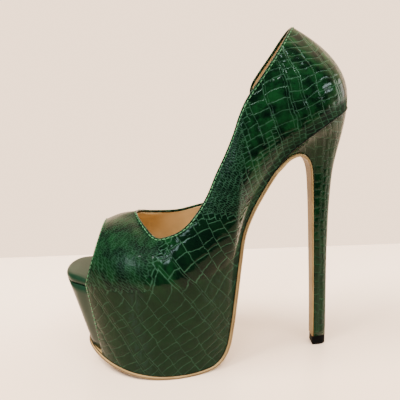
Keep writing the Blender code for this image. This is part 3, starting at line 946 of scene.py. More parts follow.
@dataclass(frozen=True)
class SmoothLeather:
    """Plain leather, rubber, thread or paint with a light grain and two tones.

    The grain's height is in millimetres; both scales are per metre.
    """

    name: str
    light: Colour
    dark: Colour
    roughness: float = 0.5
    coat: float = 0.0
    grain: float = 0.012
    grain_scale: float = 900.0
    cloud_scale: float = 60.0
    specular: float = 0.3

    def material(self) -> bpy.types.Material:
        """Build the material."""
        g = Graph(self.name)
        place = g.wire(g.node("ShaderNodeTexCoord", {}, {}), "Object")
        cloud = g.noise(place, self.cloud_scale, 3.0, 0.55)
        grain = g.noise(place, self.grain_scale, 3.0, 0.6)
        colour = g.blend(cloud.step(0.3, 0.7), self.dark, self.light)
        return g.dress(
            Base_Color=colour,
            Roughness=self.roughness + (grain - 0.5) * 0.1,
            Normal=g.bump(grain, self.grain * MM),
            Specular_IOR_Level=self.specular,
            Coat_Weight=self.coat,
            Coat_Roughness=0.1,
            Coat_IOR=1.35,
        )


class Finish(Enum):
    """Finishes of the shoe."""

    CROC = CrocPatent("green_croc_patent")
    WRAP = SmoothLeather(
        "green_wrap_leather",
        light=(0.005, 0.018, 0.010, 1.0),
        dark=(0.003, 0.011, 0.006, 1.0),
        roughness=0.35,
        coat=0.13,
        grain=0.01,
        specular=0.05,
    )
    LINING = SmoothLeather(
        "tan_lining",
        light=(0.42, 0.295, 0.14, 1.0),
        dark=(0.34, 0.235, 0.105, 1.0),
        coat=0.06,
    )
    SOCK = SmoothLeather(
        "tan_sock_leather",
        light=(0.46, 0.31, 0.13, 1.0),
        dark=(0.38, 0.25, 0.10, 1.0),
        coat=0.06,
    )
    SOLE = SmoothLeather(
        "tan_sole_leather",
        light=(0.24, 0.165, 0.070, 1.0),
        dark=(0.18, 0.12, 0.05, 1.0),
        specular=0.12,
    )
    RUBBER = SmoothLeather(
        "black_rubber",
        light=(0.004, 0.004, 0.004, 1.0),
        dark=(0.002, 0.002, 0.002, 1.0),
        grain=0.02,
        specular=0.02,
    )
    THREAD = SmoothLeather(
        "light_green_thread",
        light=(0.055, 0.16, 0.075, 1.0),
        dark=(0.035, 0.11, 0.05, 1.0),
        roughness=0.6,
        grain=0.02,
        specular=0.2,
    )
    EDGE = SmoothLeather(
        "brown_edge_paint",
        light=(0.085, 0.055, 0.028, 1.0),
        dark=(0.06, 0.038, 0.018, 1.0),
        grain=0.01,
        specular=0.2,
    )
    DARK = SmoothLeather(
        "dark_edge_paint",
        light=(0.003, 0.005, 0.003, 1.0),
        dark=(0.001, 0.002, 0.001, 1.0),
        grain=0.01,
        specular=0.1,
    )


def dressed(finish: Finish) -> bpy.types.Material:
    """The finish's material, made once."""
    known = bpy.data.materials.get(finish.value.name)
    return known if known is not None else finish.value.material()


def settle(thing: bpy.types.Object, slot: str, *nodes: str) -> bpy.types.Object:
    """Ride on the shoe and stand for solids.

    Args:
        thing: The piece.
        slot: Not used.
        nodes: Solids that it stands for.

    Returns:
        The piece.
    """
    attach(thing, "root")
    if nodes:
        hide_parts(*nodes)
    log.info("%s: %d faces", thing.name, len(thing.data.polygons))
    return thing


def dress(name: str, mesh: bpy.types.Mesh, finish: Finish, slot: str, *nodes: str) -> bpy.types.Object:
    """Piece of a mesh in one finish, settled on the shoe."""
    return settle(link_mesh(name, mesh, dressed(finish)), slot, *nodes)


@dataclass(frozen=True)
class Zones:
    """Where the kinds of scale and the darkening of the base colour change over the upper; in the middle of
    the side the darkening is painted shade.

    Each pair is the start and the end of a fade: in stations where its name ends in _at, and
    otherwise in millimetres.
    """

    rim: Span = (-0.3, 0.4)
    vamp_back: Span = (-125.0, -110.0)
    vamp_slant: float = 0.5
    toe_back: Span = (-158.0, -132.0)
    band_depth: Span = (5.0, 12.0)
    band_front_at: Span = (6.2, 8.0)
    band_back_at: Span = (12.5, 15.0)
    shank_at: Span = (11.2, 13.2)
    shank_height: Span = (18.0, 30.0)
    seat_at: Span = (15.5, 17.5)
    seat_height: Span = (6.0, 11.0)
    waist_front: Span = (-96.0, -88.0)
    waist_back: Span = (-60.0, -49.0)
    waist_height: Span = (98.0, 108.0)
    waist_slant: float = 0.25
    waist_level: float = 100.0
    tiny: float = 2.0
    toe: float = 0.5
    waist: float = 1.65
    wall_rim: Span = (-2.0, 2.0)
    wall_shade: float = 0.52
    vamp_shade: float = 0.38
    vamp_at: Span = (5.0, 7.0)
    middle_painted_shade: float = 0.85
    middle_rim: Span = (-1.0, 3.0)
    middle_front_at: Span = (5.5, 7.0)
    middle_back_at: Span = (11.0, 15.0)
    wall_faint: float = 0.66
    faint_rim: Span = (-3.0, 1.0)
    faint_at: Span = (10.0, 13.0)
    dull_height: Span = (4.0, 10.0)
    dull_lift: float = 3.0
    dull_lift_at: Span = (13.5, 15.5)
    dull_at: Span = (9.5, 11.5)

    def fineness(self, grid: Grid, over_rim: Grid, stations: np.ndarray) -> Grid:
        """How small the scales are: 0 large, 1 small, 2 tiny.

        Args:
            grid: Points of one side.
            over_rim: Height of each point over the rim.
            stations: Stations of the columns, as a column.

        Returns:
            One number for each point.
        """
        x, z = grid[..., 0], grid[..., 2]
        to_top = lengths(grid[:, ::-1], 1)[:, ::-1]
        over_foot = z - grid[:, :1, 2]
        above = ease(*self.rim, over_rim)
        vamp = self.tiny * above * fall(*self.vamp_back, x - over_rim * self.vamp_slant)
        wall = self.toe * (1.0 - above) * fall(*self.toe_back, x)
        band = fall(*self.band_depth, to_top) * ease(*self.band_front_at, stations)
        band = band * fall(*self.band_back_at, stations)
        shank = ease(*self.shank_at, stations) * fall(*self.seat_at, stations)
        shank = shank * fall(*self.shank_height, over_foot)
        seat = ease(*self.seat_at, stations) * fall(*self.seat_height, over_foot)
        slanted = x - (z - self.waist_level) * self.waist_slant
        waist = self.waist * ease(*self.waist_front, slanted) * fall(*self.waist_back, x)
        waist = waist * ease(*self.waist_height, z)
        return np.clip(np.maximum.reduce([vamp, wall, band, shank, seat, waist]), 0.0, self.tiny)

    def marks(self, grid: Grid, over_rim: Grid, stations: np.ndarray) -> dict[str, Grid]:
        """Marks that the leather reads: fineness, shade, faint and dull.

        Args:
            grid: Points of one side.
            over_rim: Height of each point over the rim.
            stations: Stations of the columns, as a column.

        Returns:
            One number for each point, for each mark.
        """
        wall = self.wall_shade * fall(*self.wall_rim, over_rim)
        vamp = self.vamp_shade * ease(*self.wall_rim, over_rim) * fall(*self.vamp_at, stations)
        # Painted shade: the middle of the side is darkened in colour for the shade and the dark reflections
        # it shows.
        middle = self.middle_painted_shade * ease(*self.middle_front_at, stations)
        middle = middle * ease(*self.middle_rim, over_rim) * fall(*self.middle_back_at, stations)
        faint = self.wall_faint * fall(*self.faint_rim, over_rim) * fall(*self.faint_at, stations)
        lift = self.dull_lift * fall(*self.dull_lift_at, stations)
        dull = fall(*self.dull_height, lengths(grid, 1) - lift) * ease(*self.dull_at, stations)
        return {
            "fineness": self.fineness(grid, over_rim, stations),
            "shade": np.maximum.reduce([wall, vamp, middle]),
            "faint": faint,
            "dull": dull,
        }


@dataclass
class Upper:
    """Leather upper with its rolled edges, and its lining, in millimetres and degrees."""

    last: Last
    origin: Origin
    wall: float = 1.7
    hem: float = 1.2
    roll_steps: int = 6
    roll_pitch: float = 0.4
    roll_shade: float = 0.6
    peep_setback: float = 0.065
    crease: float = 0.9
    crease_width: float = 2.6
    wall_steps: int = 26
    body_steps: int = 60
    ridge_fade: float = 1.8
    throat_reach: float = 1.3
    throat_hold: float = 0.75
    throat_lead: int = 4
    throat_rows: int = 22
    fair_front: Span = (3.0, 3.9)
    fair_back: Span = (5.1, 6.0)
    fair_rows: tuple[int, int] = (16, 7)
    fair_pull: float = 0.8
    fair_rounds: int = 120
    pattern_station: float = 14.0
    pattern_pivot: tuple[float, float] = (-20.0, 150.0)
    side_lean: float = 8.0
    side_height: Span = (45.0, 85.0)
    counter_lean: float = 8.0
    counter_height: Span = (85.0, 190.0)
    lining_gap: float = 0.2
    lining_back: float = 0.7
    zones: Zones = Zones()
    stations: np.ndarray = field(
        default_factory=lambda: spread(
            (PEEP, THROAT, 30), (THROAT, 7.4, 60), (7.4, 9.4, 26), (9.4, 13.0, 40),
            (13.0, HEEL_START, 34), (HEEL_START, BACK, 70),
        )
    )
    throat: int = field(init=False)
    grids: dict[Side, Grid] = field(init=False)
    normals: dict[Side, Grid] = field(init=False)
    out: dict[Side, Grid] = field(init=False)

    def __post_init__(self) -> None:
        """Work out the outer skin, pulled back from its edges by the roll."""
        steps = (self.wall_steps, self.body_steps)
        self.stations[0] = PEEP + self.peep_setback
        self.throat = int(np.searchsorted(self.stations, THROAT - TOUCH))
        before = self.stations[: self.throat]
        tops = {side: self.last.top(self.stations, side) for side in Side}
        first = {s: self.last.sections(self.stations, s, steps, tops[s]) for s in Side}
        self.normals = self._normals(first)
        self.grids = {}
        for side in Side:
            shift = self._edge_out(first[side], side) * self.wall / 2.0
            fade = ease(THROAT - self.ridge_fade, THROAT, before)[:, None]
            shift[: self.throat] = shift[self.throat] * fade
            grid = self.last.sections(self.stations, side, steps, tops[side] - shift)
            self.grids[side] = self._fair(self._soften(grid))
        self.normals = self._normals(self.grids)
        self.out = {side: self._edge_out(self.grids[side], side) for side in Side}

    def _normals(self, grids: dict[Side, Grid]) -> dict[Side, Grid]:
        """Normals of both sides, shared along the ridge and the back."""
        made = {}
        for side in Side:
            along, up = np.gradient(grids[side], axis=0), np.gradient(grids[side], axis=1)
            made[side] = unit(np.cross(along, up) * -side.value)
        near, far = made[Side.LATERAL], made[Side.MEDIAL]
        ridge = (slice(0, self.throat + 1), -1)
        for shared in (ridge, -1):
            near[shared] = far[shared] = unit(near[shared] + far[shared])
        for side in Side:
            self._settle_throat(grids[side], made[side])
        return made

    def _settle_throat(self, grid: Grid, normals: Grid) -> None:
        """Carry the normals round the throat, where the sections end along the edge itself.

        Args:
            grid: Outer skin of one side.
            normals: Its normals, changed in place.
        """
        end = THROAT + self.throat_reach
        last = int(np.searchsorted(self.stations, end))
        span = slice(self.throat, last + 1)
        edge = grid[span, -1]
        length = lengths(edge)
        share = (length / length[-1])[:, None]
        tangent = np.gradient(edge, axis=0)
        tangent[0] = (0.0, np.sign(tangent[0, 1]), 0.0)
        tangent = unit(tangent)
        lead = normals[self.throat - self.throat_lead, -1] * np.array([1.0, 0.0, 1.0])
        line = lead * (1.0 - share) + normals[last, -1] * share
        line = unit(line - tangent * (line * tangent).sum(axis=1, keepdims=True))
        hold = THROAT + self.throat_hold * self.throat_reach
        fade = fall(hold, end, self.stations[span])[:, None]
        inner = normals[span, -self.throat_rows]
        for row in range(-self.throat_rows, 0):
            way = float(ease(-self.throat_rows, -1.0, row))
            calm = unit(inner * (1.0 - way) + line * way)
            normals[span, row] = unit(normals[span, row] * (1.0 - fade) + calm * fade)

    def _fair(self, grid: Grid) -> Grid:
        """Even out the slope across the sections by the throat, along the normals."""
        near = ease(*self.fair_front, self.stations) * fall(*self.fair_back, self.stations)
        rows = np.arange(grid.shape[1])
        low, high = self.fair_rows
        free = ease(self.wall_steps, self.wall_steps + low, rows) * fall(rows[-1] - high, rows[-1], rows)
        weight = near[:, None] * free[None, :]
        out = grid.copy()
        for _ in range(self.fair_rounds):
            normal = unit(np.cross(np.gradient(out, axis=0), np.gradient(out, axis=1)))
            pull = np.zeros_like(out)
            pull[1:-1] = (out[:-2] + out[2:]) / 2.0 - out[1:-1]
            move = ((pull * normal).sum(axis=-1) * weight)[..., None]
            out = out + normal * move * self.fair_pull
        return out

    def _edge_out(self, grid: Grid, side: Side) -> np.ndarray:
        """Directions in the skin, square to its upper edge and away from it."""
        edge = grid[:, -1]
        tangent = np.gradient(edge, axis=0)
        tangent[self.throat] = (0.0, np.sign((edge[self.throat + 1] - edge[self.throat])[1]), 0.0)
        outward = unit(np.cross(self.normals[side][:, -1], unit(tangent)))
        behind = slice(self.throat + self.throat_lead, None)
        if (outward[behind] * (edge - grid[:, -2])[behind]).sum() < 0:
            outward = -outward
        return outward

    def _soften(self, grid: Grid) -> Grid:
        """Round the crease along the rim."""
        out = grid.copy()
        for column, line in enumerate(grid):
            length = lengths(line)
            reach = self.crease * np.exp(-(((length - length[self.wall_steps]) / self.crease_width) ** 2))
            for axis in range(3):
                less = np.interp(length - reach, length, line[:, axis])
                more = np.interp(length + reach, length, line[:, axis])
                out[column, :, axis] = 0.25 * less + 0.5 * line[:, axis] + 0.25 * more
        return out

    def pattern(self, side: Side) -> Grid:
        """Pattern coordinates: run along the side, and height up the section."""
        grid = self.grids[side]
        middle = int(np.searchsorted(self.stations, self.pattern_station))
        step = np.diff(grid, axis=0)
        flat = np.hypot(step[..., 0], step[..., 1]) * np.sign(step[..., 0] + 1e-9)
        run = np.insert(np.cumsum(flat, axis=0), 0, 0.0, axis=0)
        run = run - run[middle] + grid[middle, :, 0]
        away = self.last.outward(self.last.rim, self.stations, side)
        rise = np.diff(grid, axis=1)
        lean = (rise * away[:, None, :]).sum(axis=-1)
        height = np.insert(np.cumsum(np.hypot(rise[..., 2], lean), axis=1), 0, 0.0, axis=1)
        rim = self.wall_steps
        height = height - height[:, rim : rim + 1] + grid[:, rim : rim + 1, 2]
        turn = math.radians(self.side_lean) * ease(*self.side_height, height)
        turn = turn + math.radians(self.counter_lean) * ease(*self.counter_height, height)
        return turned(run - self.pattern_pivot[0], height - self.pattern_pivot[1], turn)

    def marks(self, side: Side) -> dict[str, Grid]:
        """Point marks of one side, for its leather."""
        grid = self.grids[side]
        rim = self.wall_steps
        return self.zones.marks(grid, grid[..., 2] - grid[:, rim : rim + 1, 2], self.stations[:, None])

    def _roll(self, base: np.ndarray, out: np.ndarray, normal: np.ndarray) -> list[np.ndarray]:
        """Rows of the folded edge, from the outer skin over to the inner skin."""
        radius = self.wall / 2.0
        rows = []
        for k in range(1, self.roll_steps + 1):
            turn = math.pi * k / self.roll_steps
            rows.append(base + out * radius * math.sin(turn) - normal * radius * (1.0 - math.cos(turn)))
        rows.append(rows[-1] - out * self.hem)
        return rows

    def leather(self) -> bpy.types.Object:
        """Outer leather with its folded edges."""
        patches = []
        folded = {"fineness": 1.0, "shade": self.roll_shade}
        behind = slice(self.throat, None)
        for side in Side:
            grid, normal, pattern = self.grids[side], self.normals[side], self.pattern(side)
            flip = side is Side.MEDIAL
            patches.append(Patch(grid, pattern, self.marks(side), flip))
            collar = self._roll(grid[behind, -1], self.out[side][behind], normal[behind, -1])
            roll = np.stack([grid[behind, -1], *collar], axis=1)
            coords = np.repeat(pattern[behind, -1:], roll.shape[1], axis=1)
            coords[..., 1] += np.arange(roll.shape[1]) * self.roll_pitch
            patches.append(Patch(roll, coords, folded, flip))
            peep = self._roll(grid[0], unit(grid[0] - grid[1]), normal[0])
            lip = np.stack([*peep[::-1], grid[0]], axis=0)
            coords = np.repeat(pattern[:1], lip.shape[0], axis=0)
            coords[..., 0] -= np.arange(lip.shape[0])[::-1, None] * self.roll_pitch
            patches.append(Patch(lip, coords, folded, flip))
        mesh = build_mesh("upper", patches, self.origin)
        return dress("upper_leather", mesh, Finish.CROC, "upper", "upper")

    def lining(self) -> bpy.types.Object:
        """Tan lining inside the leather."""
        patches = []
        behind = slice(self.throat, None)
        for side in Side:
            grid = self.grids[side] - self.normals[side] * (self.wall + self.lining_gap)
            grid[behind, -1] -= self.out[side][behind] * (self.wall / 2.0 * self.lining_back)
            patches.append(Patch(grid, self.pattern(side), {}, side is Side.LATERAL))
        mesh = build_mesh("lining", patches, self.origin)
        return dress("upper_lining", mesh, Finish.LINING, "upper")


@dataclass
class Stack:
    """Closed solid from outlines laid one over another, each of (x, z, half, centre) rows."""

    name: str
    origin: Origin
    across: int = 10

    def _spot(self, rows: np.ndarray, share: float) -> np.ndarray:
        """Points at a share of the half width."""
        return np.stack([rows[..., 0], rows[..., 3] + rows[..., 2] * share, rows[..., 1]], axis=-1)

    def mesh(self, loops: Sequence[np.ndarray]) -> bpy.types.Mesh:
        """Build the closed mesh.

        Args:
            loops: Outlines from the lowest to the highest.

        Returns:
            The mesh.
        """
        patches = []
        body = np.stack(loops, axis=1)
        shares = np.linspace(-1.0, 1.0, self.across + 1)
        for level, flip in ((0, True), (-1, False)):
            cap = np.stack([self._spot(body[:, level], s) for s in shares], axis=1)
            patches.append(Patch(cap, cap[..., :2], {}, flip))
        for sign in (-1.0, 1.0):
            wall = self._spot(body, sign)
            patches.append(Patch(wall, wall[..., [0, 2]], {}, sign > 0))
        for index in (0, -1):
            if body[index, 0, 2] >= TOUCH:
                end = np.stack([self._spot(body[index], s) for s in shares], axis=0)
                patches.append(Patch(end, end[..., 1:], {}, index == -1))
        return face_outwards(build_mesh(self.name, patches, self.origin))


@dataclass
class Bottom:
    """Insole, sock lining, platform and outsole, in millimetres.

    A pair whose name ends in _at is the start and the end of a fade, in stations.
    """

    last: Last
    origin: Origin
    upper_wall: float = 1.8
    clearance: float = 0.3
    lip: float = 5.6
    board: float = 2.8
    lip_setback: float = -0.2
    front_setback: float = 0.4
    platform_back: float = 2.2
    shank_margin: float = 1.2
    layers: int = 8
    platform_drop: tuple[float, float] = (-0.4, -1.2)
    board_round: float = 0.42
    board_round_behind: float = 0.6
    sock: float = 0.9
    sock_margin: float = 0.3
    sock_shank: float = 1.1
    sock_toe: float = 15.0
    sock_edge: tuple[Span, ...] = ((0.0, 0.0), (0.6, 0.0), (0.9, 0.15), (1.0, 0.45))
    sole: float = 2.3
    sole_layers: int = 6
    sole_bevel: float = 0.3
    breast: float = 1.1
    breast_edge: float = 0.2
    breast_levels: Span = (1.0, 6.0)
    breast_gap: float = 0.3
    least_half: float = 0.5
    sole_edge: float = 0.6
    probe: float = 0.3
    narrowest: float = 0.05
    round_toe_at: Span = (2.0, 3.5)
    round_seat_at: Span = (18.5, 20.5)
    open_toe_at: Span = (1.1, 1.85)
    shank_at: Span = (9.0, 12.0)
    lip_at: Span = (1.2, 2.6)
    sock_toe_at: Span = (0.6, 3.4)
    sock_shank_at: Span = (9.5, 13.0)
    sock_seat_at: Span = (18.0, 21.0)

    def _normal(self, rows: Callable[[np.ndarray], np.ndarray], stations: np.ndarray) -> np.ndarray:
        """Directions square to a side profile, towards the foot."""
        before = rows(np.maximum(stations - self.probe, 0.0))
        after = rows(np.minimum(stations + self.probe, BACK))
        step = unit((after - before)[:, :2])
        return np.stack([-step[:, 1], step[:, 0]], axis=1)

    def _inset(
        self, rows: np.ndarray, curve: Curve, stations: np.ndarray, amount: np.ndarray, slope: np.ndarray
    ) -> np.ndarray:
        """Rows moved in from the plan outline."""
        away = self.last.outward(curve, stations, Side.LATERAL)
        share = fall(*self.round_toe_at, stations) + ease(*self.round_seat_at, stations)
        shift = -away[:, 0] * amount * share
        side = np.maximum(np.abs(away[:, 1]), self.narrowest)
        narrow = amount * (np.abs(away[:, 1]) * share + (1.0 - share) / side)
        width = np.where(rows[:, 2] < TOUCH, 0.0, np.maximum(rows[:, 2] - narrow, 0.0))
        return np.stack([rows[:, 0] + shift, rows[:, 1] + shift * slope, width], axis=1)

    def rows(
        self,
        stations: np.ndarray,
        line: Callable[[np.ndarray], np.ndarray],
        lift: np.ndarray | float,
        inset: np.ndarray,
        curve: Curve,
    ) -> np.ndarray:
        """Outline lifted square to the profile and moved in.

        Args:
            stations: Stations of the outline.
            line: Gives the (x, z, half) rows at stations.
            lift: Height over the line.
            inset: Distance in from the outline.
            curve: Plan outline.

        Returns:
            Rows of (x, z, half, centre).
        """
        normal = self._normal(line, stations)
        slope = -normal[:, 0] / normal[:, 1]
        moved = self._inset(line(stations), curve, stations, inset, slope)
        height = np.broadcast_to(lift, stations.shape)
        lifted = moved[:, :2] + normal * height[:, None]
        return np.column_stack([lifted, moved[:, 2], self.last.centre.at(stations)[:, 0]])

    def wall_inset(self, stations: np.ndarray, setback: float, margin: float) -> np.ndarray:
        """Inset that clears the leather, and only the setback where the toe is open."""
        closed = (self.upper_wall + self.clearance - setback) * ease(*self.open_toe_at, stations)
        return setback + closed + margin * ease(*self.shank_at, stations)

    def board_at(self, stations: np.ndarray) -> np.ndarray:
        """Insole thickness: a thick lip at the toe, then the board."""
        return self.lip + (self.board - self.lip) * ease(*self.lip_at, stations)

    def platform(self) -> bpy.types.Object:
        """Block between outsole and insole, with a green front."""
        stations = spread((0.0, 2.0, 40), (2.0, PLATFORM_END, 90))
        inset = self.wall_inset(stations, self.front_setback, self.platform_back)
        low = self.rows(stations, self.last.foot.at, 0.0, inset, self.last.foot)
        high = self.rows(stations, self.last.bed, -self.clearance, inset, self.last.rim)
        low[-1] = high[-1] + np.array([*self.platform_drop, 0.0, 0.0])
        loops = [low + (high - low) * k / self.layers for k in range(self.layers + 1)]
        mesh = Stack("platform", self.origin).mesh(loops)
        return dress("platform_block", mesh, Finish.WRAP, "platform", "platform")

    def insole(self) -> bpy.types.Object:
        """Wrapped board with a rounded edge and a thick lip at the toe."""
        stations = spread((0.0, 2.6, 60), (2.6, 12.0, 60), (12.0, 14.0, 20), (14.0, BACK, 60))
        inset = self.wall_inset(stations, self.lip_setback, self.shank_margin)
        thick = self.board_at(stations)
        loops = []
        for k in range(self.layers + 1):
            turn = math.pi * (k / self.layers - 0.5)
            share = 0.5 + 0.5 * math.sin(turn)
            back = (1.0 - math.cos(turn)) * self.board_round
            edge = inset + back * thick * np.where(stations < PEEP, 1.0, self.board_round_behind)
            loops.append(self.rows(stations, self.last.bed, thick * share, edge, self.last.rim))
        mesh = Stack("insole", self.origin).mesh(loops)
        return dress("insole_board", mesh, Finish.WRAP, "insole", "insole")

    def sock_lining(self) -> bpy.types.Object:
        """Thin tan sheet on the insole."""
        stations = spread((0.0, 3.4, 50), (3.4, 12.0, 60), (12.0, 14.0, 20), (14.0, BACK, 70))
        full = self.upper_wall + self.clearance + self.sock_margin
        inset = self.sock_toe + (full - self.sock_toe) * ease(*self.sock_toe_at, stations)
        seat = ease(*self.sock_seat_at, stations)
        shank = ease(*self.sock_shank_at, stations) - seat
        inset = inset + (self.sock_shank - full) * shank + self.shank_margin * seat
        thick = self.board_at(stations) + self.clearance
        loops = []
        for share, back in self.sock_edge:
            lift = thick + self.sock * share
            loops.append(self.rows(stations, self.last.bed, lift, inset + back, self.last.rim))
        mesh = Stack("sock_lining", self.origin).mesh(loops)
        return dress("sock_sheet", mesh, Finish.SOCK, "sock_lining", "sock_lining")

    def outsole(self, heel: Heel) -> bpy.types.Object:
        """Sheet along forefoot, platform back, shank, arch and heel front."""
        stations = spread((0.0, 2.0, 30), (2.0, 14.0, 130), (14.0, HEEL_START - self.breast_gap, 30))
        centre = self.last.centre.at(stations)[:, 0]
        forward = np.column_stack([self.last.foot.at(stations), centre, stations])
        keys = spread((0.0, 8.0, 60), (8.0, len(STEMS) - 1, 16))
        down = np.column_stack([heel.front.at(keys), np.zeros(len(keys)), BACK + keys])
        path = np.concatenate([forward, down])
        on_heel = path[:, 4] >= BACK
        step = np.gradient(path[:, :2], axis=0)
        normal = unit(np.stack([-step[:, 1], step[:, 0]], axis=1))
        normal[-1] = (1.0, 0.0)
        slim = ease(*self.breast_levels, path[:, 4] - BACK)
        thick = self.sole + (self.breast - self.sole) * slim
        width = path[:, 2] + np.where(on_heel, self.breast_edge, self.sole_edge)
        bevel = self.sole_bevel * thick
        loops = []
        for k in range(self.sole_layers + 1):
            turn = math.pi * (k / self.sole_layers - 0.5)
            depth = thick * (0.5 - 0.5 * math.sin(turn))
            back = bevel * (1.0 - math.cos(turn))
            x = path[:, 0] - normal[:, 0] * (self.clearance + depth)
            z = np.maximum(path[:, 1] - normal[:, 1] * (self.clearance + depth), 0.0)
            half = np.maximum(width - back, self.least_half)
            x[0] += back[0] - self.sole_edge
            half[0] = 0.0
            loops.append(np.stack([x, z, half, path[:, 3]], axis=1))
        mesh = Stack("outsole", self.origin).mesh(loops)
        return dress("sole_sheet", mesh, Finish.SOLE, "outsole", "outsole")


@dataclass
class Heel:
    """Covered heel and its rubber tip, in millimetres and degrees."""

    last: Last
    origin: Origin
    clearance: float = 0.3
    probe: float = 0.3
    stem_power: float = 2.5
    seat_reach: float = 5.0
    across: int = 8
    rows_lean: float = 33.0
    rows_start: float = 3.0
    around_scale: float = 1.9
    height_scale: float = 0.95
    shade: float = 0.4
    faint: float = 0.45
    tip_length: float = 9.6
    tip_width: float = 8.8
    tip_steps: int = 24
    tip_edge: tuple[Span, ...] = ((0.0, 0.5), (0.12, 0.2), (0.4, 0.05), (0.8, 0.0), (6.3, 0.0), (6.5, 0.1))
    front: Curve = field(init=False)
    back: Curve = field(init=False)

    def __post_init__(self) -> None:
        """Make the heel's curves."""
        self.front = Curve(range(len(STEMS)), [s[:3] for s in STEMS])
        self.back = Curve(range(len(STEMS)), [(s.back_x, s.back_z, 0.0) for s in STEMS])

    def _oval(self, angle: np.ndarray) -> tuple[np.ndarray, np.ndarray]:
        """Shares of the length and of the half width round the stem, from front to back."""
        along = np.sin(angle) ** (2.0 / self.stem_power)
        across = np.maximum(np.cos(angle), 0.0) ** (2.0 / self.stem_power)
        across[-1] = 0.0
        return along, across

    def _bridge(self, near: np.ndarray, far: np.ndarray, axis: int) -> Grid:
        """Grid straight across from one line of points to another."""
        return np.stack([near + (far - near) * k / self.across for k in range(self.across + 1)], axis=axis)

    def _seat(self, stations: np.ndarray) -> np.ndarray:
        """Rows of (x, z, half) under the seat, a clearance below the upper's edge."""
        rows = self.last.foot.at(stations)
        ahead = self.last.foot.at(np.minimum(stations + self.probe, BACK))
        step = unit((ahead - self.last.foot.at(stations - self.probe))[:, :2])
        rows[:, 0] += step[:, 1] * self.clearance
        rows[:, 1] -= step[:, 0] * self.clearance
        rows[-1, 2] = 0.0
        return rows

    def _sides(self) -> tuple[Grid, Grid]:
        """Both sides of the block, from its front edge to its back line and down to the tip."""
        stations = spread((HEEL_START, 20.0, 20), (20.0, BACK, 24))
        keys = spread((0.0, 8.0, 64), (8.0, len(STEMS) - 1, 20))
        seat = self._seat(stations)
        first, final = seat[0], seat[-1]
        seat_along = (seat[:, 0] - first[0]) / (final[0] - first[0])
        seat_across = seat[:, 2] / first[2]
        rise = seat[:, 1] - first[1] - (final[1] - first[1]) * seat_along
        stem_along, stem_across = self._oval((stations - HEEL_START) / (BACK - HEEL_START) * math.pi / 2)
        near, far = [], []
        for n, key in enumerate(keys):
            front, back = (first, final) if n == 0 else (self.front.at(key)[0], self.back.at(key)[0])
            blend = float(ease(0.0, self.seat_reach, key))
            along = seat_along + (stem_along - seat_along) * blend
            across = seat_across + (stem_across - seat_across) * blend
            x = front[0] + (back[0] - front[0]) * along
            z = front[1] + (back[1] - front[1]) * along + rise * (1.0 - blend)
            half = front[2] * across
            near.append(np.stack([x, -half, z], axis=1))
            far.append(np.stack([x, half, z], axis=1))
        return np.stack(near, axis=1), np.stack(far, axis=1)

    def block(self) -> bpy.types.Object:
        """Cup under the seat, arch and stem."""
        near, far = self._sides()
        patches = []
        for grid, flip in ((near, True), (far, False)):
            run = lengths(grid[..., :2])
            run = run - run[-1:] * 0.5
            across, up = run * self.around_scale + self.rows_start, grid[..., 2] * self.height_scale
            pattern = turned(across, up, math.radians(self.rows_lean))
            patches.append(Patch(grid, pattern, {"shade": self.shade, "faint": self.faint}, flip))
        small = {"fineness": 1.0}
        breast = self._bridge(near[0], far[0], 0)
        patches.append(Patch(breast, breast[..., 1:], small, True))
        for level, flip in ((0, True), (-1, False)):
            cap = self._bridge(near[:, level], far[:, level], 1)
            patches.append(Patch(cap, cap[..., :2], small, flip))
        mesh = face_outwards(build_mesh("heel", patches, self.origin))
        return dress("heel_block", mesh, Finish.CROC, "heel", "heel")

    def tip(self) -> bpy.types.Object:
        """Rubber top piece with a flat front and a round back."""
        along, across = self._oval(np.linspace(0.0, math.pi / 2, self.tip_steps + 1))
        loops = []
        for z, shrink in self.tip_edge:
            x = shrink - self.tip_length * TIP_FRONT + (self.tip_length - 2 * shrink) * along
            half = (self.tip_width / 2 - shrink) * across
            loops.append(np.stack([x, np.full_like(x, z), half, np.zeros_like(x)], axis=1))
        mesh = Stack("heel_tip", self.origin, self.across).mesh(loops)
        return dress("heel_top_piece", mesh, Finish.RUBBER, "heel_tip", "heel_tip")


